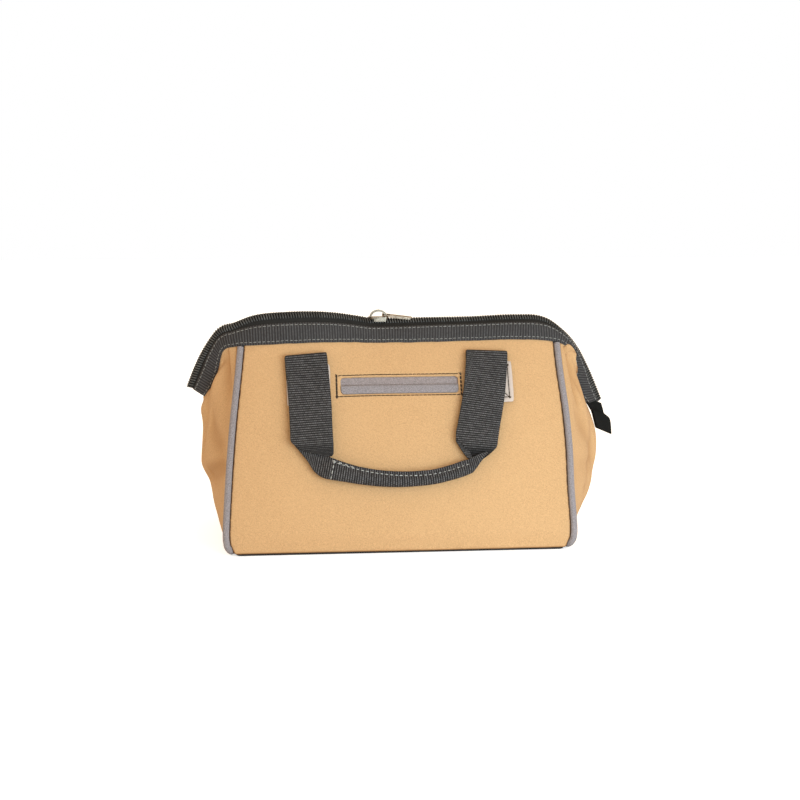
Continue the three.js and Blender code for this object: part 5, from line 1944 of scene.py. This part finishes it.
def grip_rows():
    """The long row of each grip, on both faces, and the rows that close its ends."""
    runs = []
    for _, side in SIDES:
        table, run = handle_tables(side)[-1]
        places = [run * i / 700 for i in range(701)]
        grip = [place for place in places if table.at(place)[12] > 0.999]
        first, last = grip[0] + 1, grip[-1] - 1
        inner = [place for place in grip if first <= place <= last]
        again = [p for p in inner if p < first + 17]
        foot = [lerp(-1.5, 0, i / 8) for i in range(9)]
        for face in (1, -1):
            runs.append([on_strap(table, place, 0, face) for place in inner])
            runs.append([on_strap(table, place, 0.11, face) for place in again])
            runs.append([on_strap(table, first, below, face) for below in foot])
    return runs


def on_strap(table, place, above, face):
    """A place on one face of a grip, above or below its seam, with the way out of it."""
    centre, across, out, width, thick, grip = handle_station(table, place)
    half_width = width / 2 * lerp(1, GRIP_SCALE, grip)
    seam = grip_seam(centre.x)
    stop = seam + above
    here = strap_half(stop, thick, grip, 0, seam)
    there = strap_half(stop + 0.02, thick, grip, 0, seam)
    slope = (there - here) / (0.02 * half_width)
    direction = (out * face - across * slope).normalized()
    point = centre + across * (stop * half_width) + out * (face * (here + 0.3))
    return point, tuple(direction)


# How the pocket's second rows lie, and how deep each line of thread sits
SECOND_ROW = 0.8
POCKET_THREAD = -0.2
PATCH_THREAD = 0.25
SEAM_THREAD = -0.55
SEAM_THREAD_IN = 0.5
SEAM_THREAD_Z = (14, 176)


def dark_rows():
    """The pocket's frame with a second row at each end, and the lines on each patch."""
    left, foot, right, top = POCKET_STITCH
    corners = ((left, foot), (right, foot), (right, top), (left, top))
    frame = [place for i in range(4) for place in straight(corners[i], corners[(i + 1) % 4], 30)[:-1]]
    ends = [straight((x, foot), (x, top), 12) for x in (left - SECOND_ROW, right + SECOND_ROW)]
    runs = [panel_line(FRONT, places, POCKET_THREAD) for places in ([*frame, corners[0]], *ends)]
    lift = PATCH_LIFT + PATCH_THICK - PATCH_THREAD
    for _, side in SIDES:
        for middle, width in PATCHES.values():
            runs.extend(panel_line(side, straight(a, b, 10), lift) for a, b in patch_lines(middle, width))
    return runs


def seam_rows():
    """Brown stitches in the turned-in seam between each panel and its piping."""
    steps = 79
    runs = []
    for _, side in SIDES:
        for _, end in ENDS:
            places = []
            for i in range(steps + 1):
                z = lerp(*SEAM_THREAD_Z, i / steps)
                _, half_width, shift, _, _ = BODY.at(z)
                places.append((shift + end * (half_width - SEAM_TRIM - SEAM_THREAD_IN), z))
            runs.append(panel_line(side, places, SEAM_THREAD))
    return runs


# Stitches: piece, its lines, pitch, length, share of the thread's thickness, rise, seed, finish and slot
STITCHES = (
    ("band_stitches", band_rows, 0.0041, 0.0029, 1.0, 0.0002, 3, "thread_grey", "piping_grey"),
    ("grip_stitches", grip_rows, 0.0042, 0.0029, 1.1, 0.00025, 5, "thread_pale", "patch_white"),
    ("dark_stitches", dark_rows, 0.0038, 0.0046, 1.3, 0.00025, 7, "thread_dark", "zip_black"),
    ("seam_stitches", seam_rows, 0.0034, 0.0034, 0.9, 0.0001, 9, "thread_brown", "canvas_tan"),
)


class TOOLBAG_OT_stitches(bpy.types.Operator):
    """Sews the bands, grips, pocket, patches and seams"""

    bl_idname = "tool_bag.stitches"
    bl_label = "Stitches"

    def execute(self, context):
        thread = sizes().thread
        tree = stitch_tree()
        for name, rows, pitch, length, share, rise, seed, finish, slot in STITCHES:
            stitches = grow(name, rows(), tree, Pitch=pitch, Length=length, Thread=thread * share,
                            Rise=rise, Seed=seed, Material=finish_named(finish))
            finish_piece(stitches, "bag", slot)
        return {"FINISHED"}


# Stage
TARGET = (0.00115, -0.06, 0.13317)
SENSOR_WIDTH = 36
KEY_PLACE = (0.28, -0.7, 0.07)
KEY_AIM = (0, -0.05, 0.1)
KEY_SIZE = 0.5
FLOOR_GLOW = 0.6
FLOOR_HALF = 6
FLOOR_DROP = 0.0003


class TOOLBAG_OT_stage(bpy.types.Operator):
    """Makes the floor, the surroundings, the light and the camera"""

    bl_idname = "tool_bag.stage"
    bl_label = "Stage"

    def execute(self, context):
        studio = context.scene.tool_bag.studio
        self.make_floor()
        self.make_world(context, studio)
        self.make_light(context, studio)
        camera = bpy.data.objects.new("photo_camera", bpy.data.cameras.new("photo_camera"))
        context.scene.collection.objects.link(camera)
        camera.data.sensor_width = SENSOR_WIDTH
        camera.data.lens = studio.lens
        away = Vector((
            math.sin(studio.turn) * math.cos(studio.height),
            -math.cos(studio.turn) * math.cos(studio.height),
            math.sin(studio.height),
        ))
        camera.location = Vector(TARGET) + away * studio.distance
        camera.rotation_euler = (-away).to_track_quat("-Z", "Y").to_euler()
        context.scene.camera = camera
        context.scene.view_settings.view_transform = "Standard"
        return {"FINISHED"}

    def make_floor(self):
        mesh = bpy.data.meshes.new("floor")
        build = bmesh.new()
        bmesh.ops.create_grid(build, x_segments=8, y_segments=8, size=FLOOR_HALF)
        bmesh.ops.translate(build, verts=build.verts, vec=(0, 0, -FLOOR_DROP))
        build.to_mesh(mesh)
        build.free()
        finish = Finish("white_floor", 0.9, 0.1)
        finish.colour((0.95, 0.95, 0.95, 1))
        finish.shader.inputs["Emission Color"].default_value = (1, 1, 1, 1)
        seen = finish.nodes.add("ShaderNodeLightPath").outputs["Is Camera Ray"]
        glow = finish.nodes.math("MULTIPLY", seen, FLOOR_GLOW)
        finish.nodes.feed(finish.shader.inputs["Emission Strength"], glow)
        mesh.materials.append(finish.material)
        make_object("floor", mesh)

    def make_world(self, context, studio):
        """Surroundings that look white and light the bag less than they show."""
        world = bpy.data.worlds.new("white_surroundings")
        world.use_nodes = True
        background = world.node_tree.nodes["Background"]
        nodes = Tree(world.node_tree)
        seen = nodes.add("ShaderNodeLightPath").outputs["Is Camera Ray"]
        heading = nodes.add("ShaderNodeTexCoord").outputs["Generated"]
        height = nodes.add("ShaderNodeSeparateXYZ", {0: heading}).outputs[2]
        fall = nodes.math("MULTIPLY", nodes.ramp(height, 0.0, 1.0), studio.overhead)
        light = nodes.math("SUBTRACT", studio.ambient, fall)
        lack = nodes.math("SUBTRACT", 1.0, light)
        nodes.feed(background.inputs["Strength"], nodes.math("MULTIPLY_ADD", seen, lack, light))
        nodes.feed(background.inputs["Color"], nodes.mix(seen, (*studio.warmth, 1), (1, 1, 1, 1)))
        context.scene.world = world

    def make_light(self, context, studio):
        light = bpy.data.lights.new("key_light", "AREA")
        light.size = KEY_SIZE
        light.energy = studio.key
        light.color = studio.key_colour
        obj = bpy.data.objects.new("key_light", light)
        obj.location = KEY_PLACE
        obj.rotation_euler = (Vector(KEY_AIM) - Vector(KEY_PLACE)).to_track_quat("-Z", "Y").to_euler()
        context.scene.collection.objects.link(obj)


OPERATORS = (
    TOOLBAG_OT_stage,
    TOOLBAG_OT_base,
    TOOLBAG_OT_panels,
    TOOLBAG_OT_gussets,
    TOOLBAG_OT_piping,
    TOOLBAG_OT_bands,
    TOOLBAG_OT_zip,
    TOOLBAG_OT_slider,
    TOOLBAG_OT_handles,
    TOOLBAG_OT_patches,
    TOOLBAG_OT_pocket,
    TOOLBAG_OT_stitches,
)


class TOOLBAG_PT_sidebar(bpy.types.Panel):
    """Lists the steps and settings of the tool bag"""

    bl_idname = "TOOLBAG_PT_sidebar"
    bl_label = "Tool Bag"
    bl_space_type = "VIEW_3D"
    bl_region_type = "UI"
    bl_category = "Tool Bag"

    def draw(self, context):
        layout = self.layout
        settings = context.scene.tool_bag
        for part in (settings.sizes, settings.colours, settings.studio):
            box = layout.box()
            for key in part.bl_rna.properties.keys():
                if key not in {"rna_type", "name"}:
                    box.prop(part, key)
        for operator in OPERATORS:
            layout.operator(operator.bl_idname)


CLASSES = (BagSizes, BagColours, BagStudio, BagSettings, *OPERATORS, TOOLBAG_PT_sidebar)


def register():
    for item in CLASSES:
        bpy.utils.register_class(item)
    bpy.types.Scene.tool_bag = PointerProperty(type=BagSettings)


def unregister():
    del bpy.types.Scene.tool_bag
    for item in reversed(CLASSES):
        bpy.utils.unregister_class(item)


def main():
    register()
    for operator in OPERATORS:
        getattr(bpy.ops.tool_bag, operator.bl_idname.split(".")[1])()


if __name__ == "__main__":
    main()
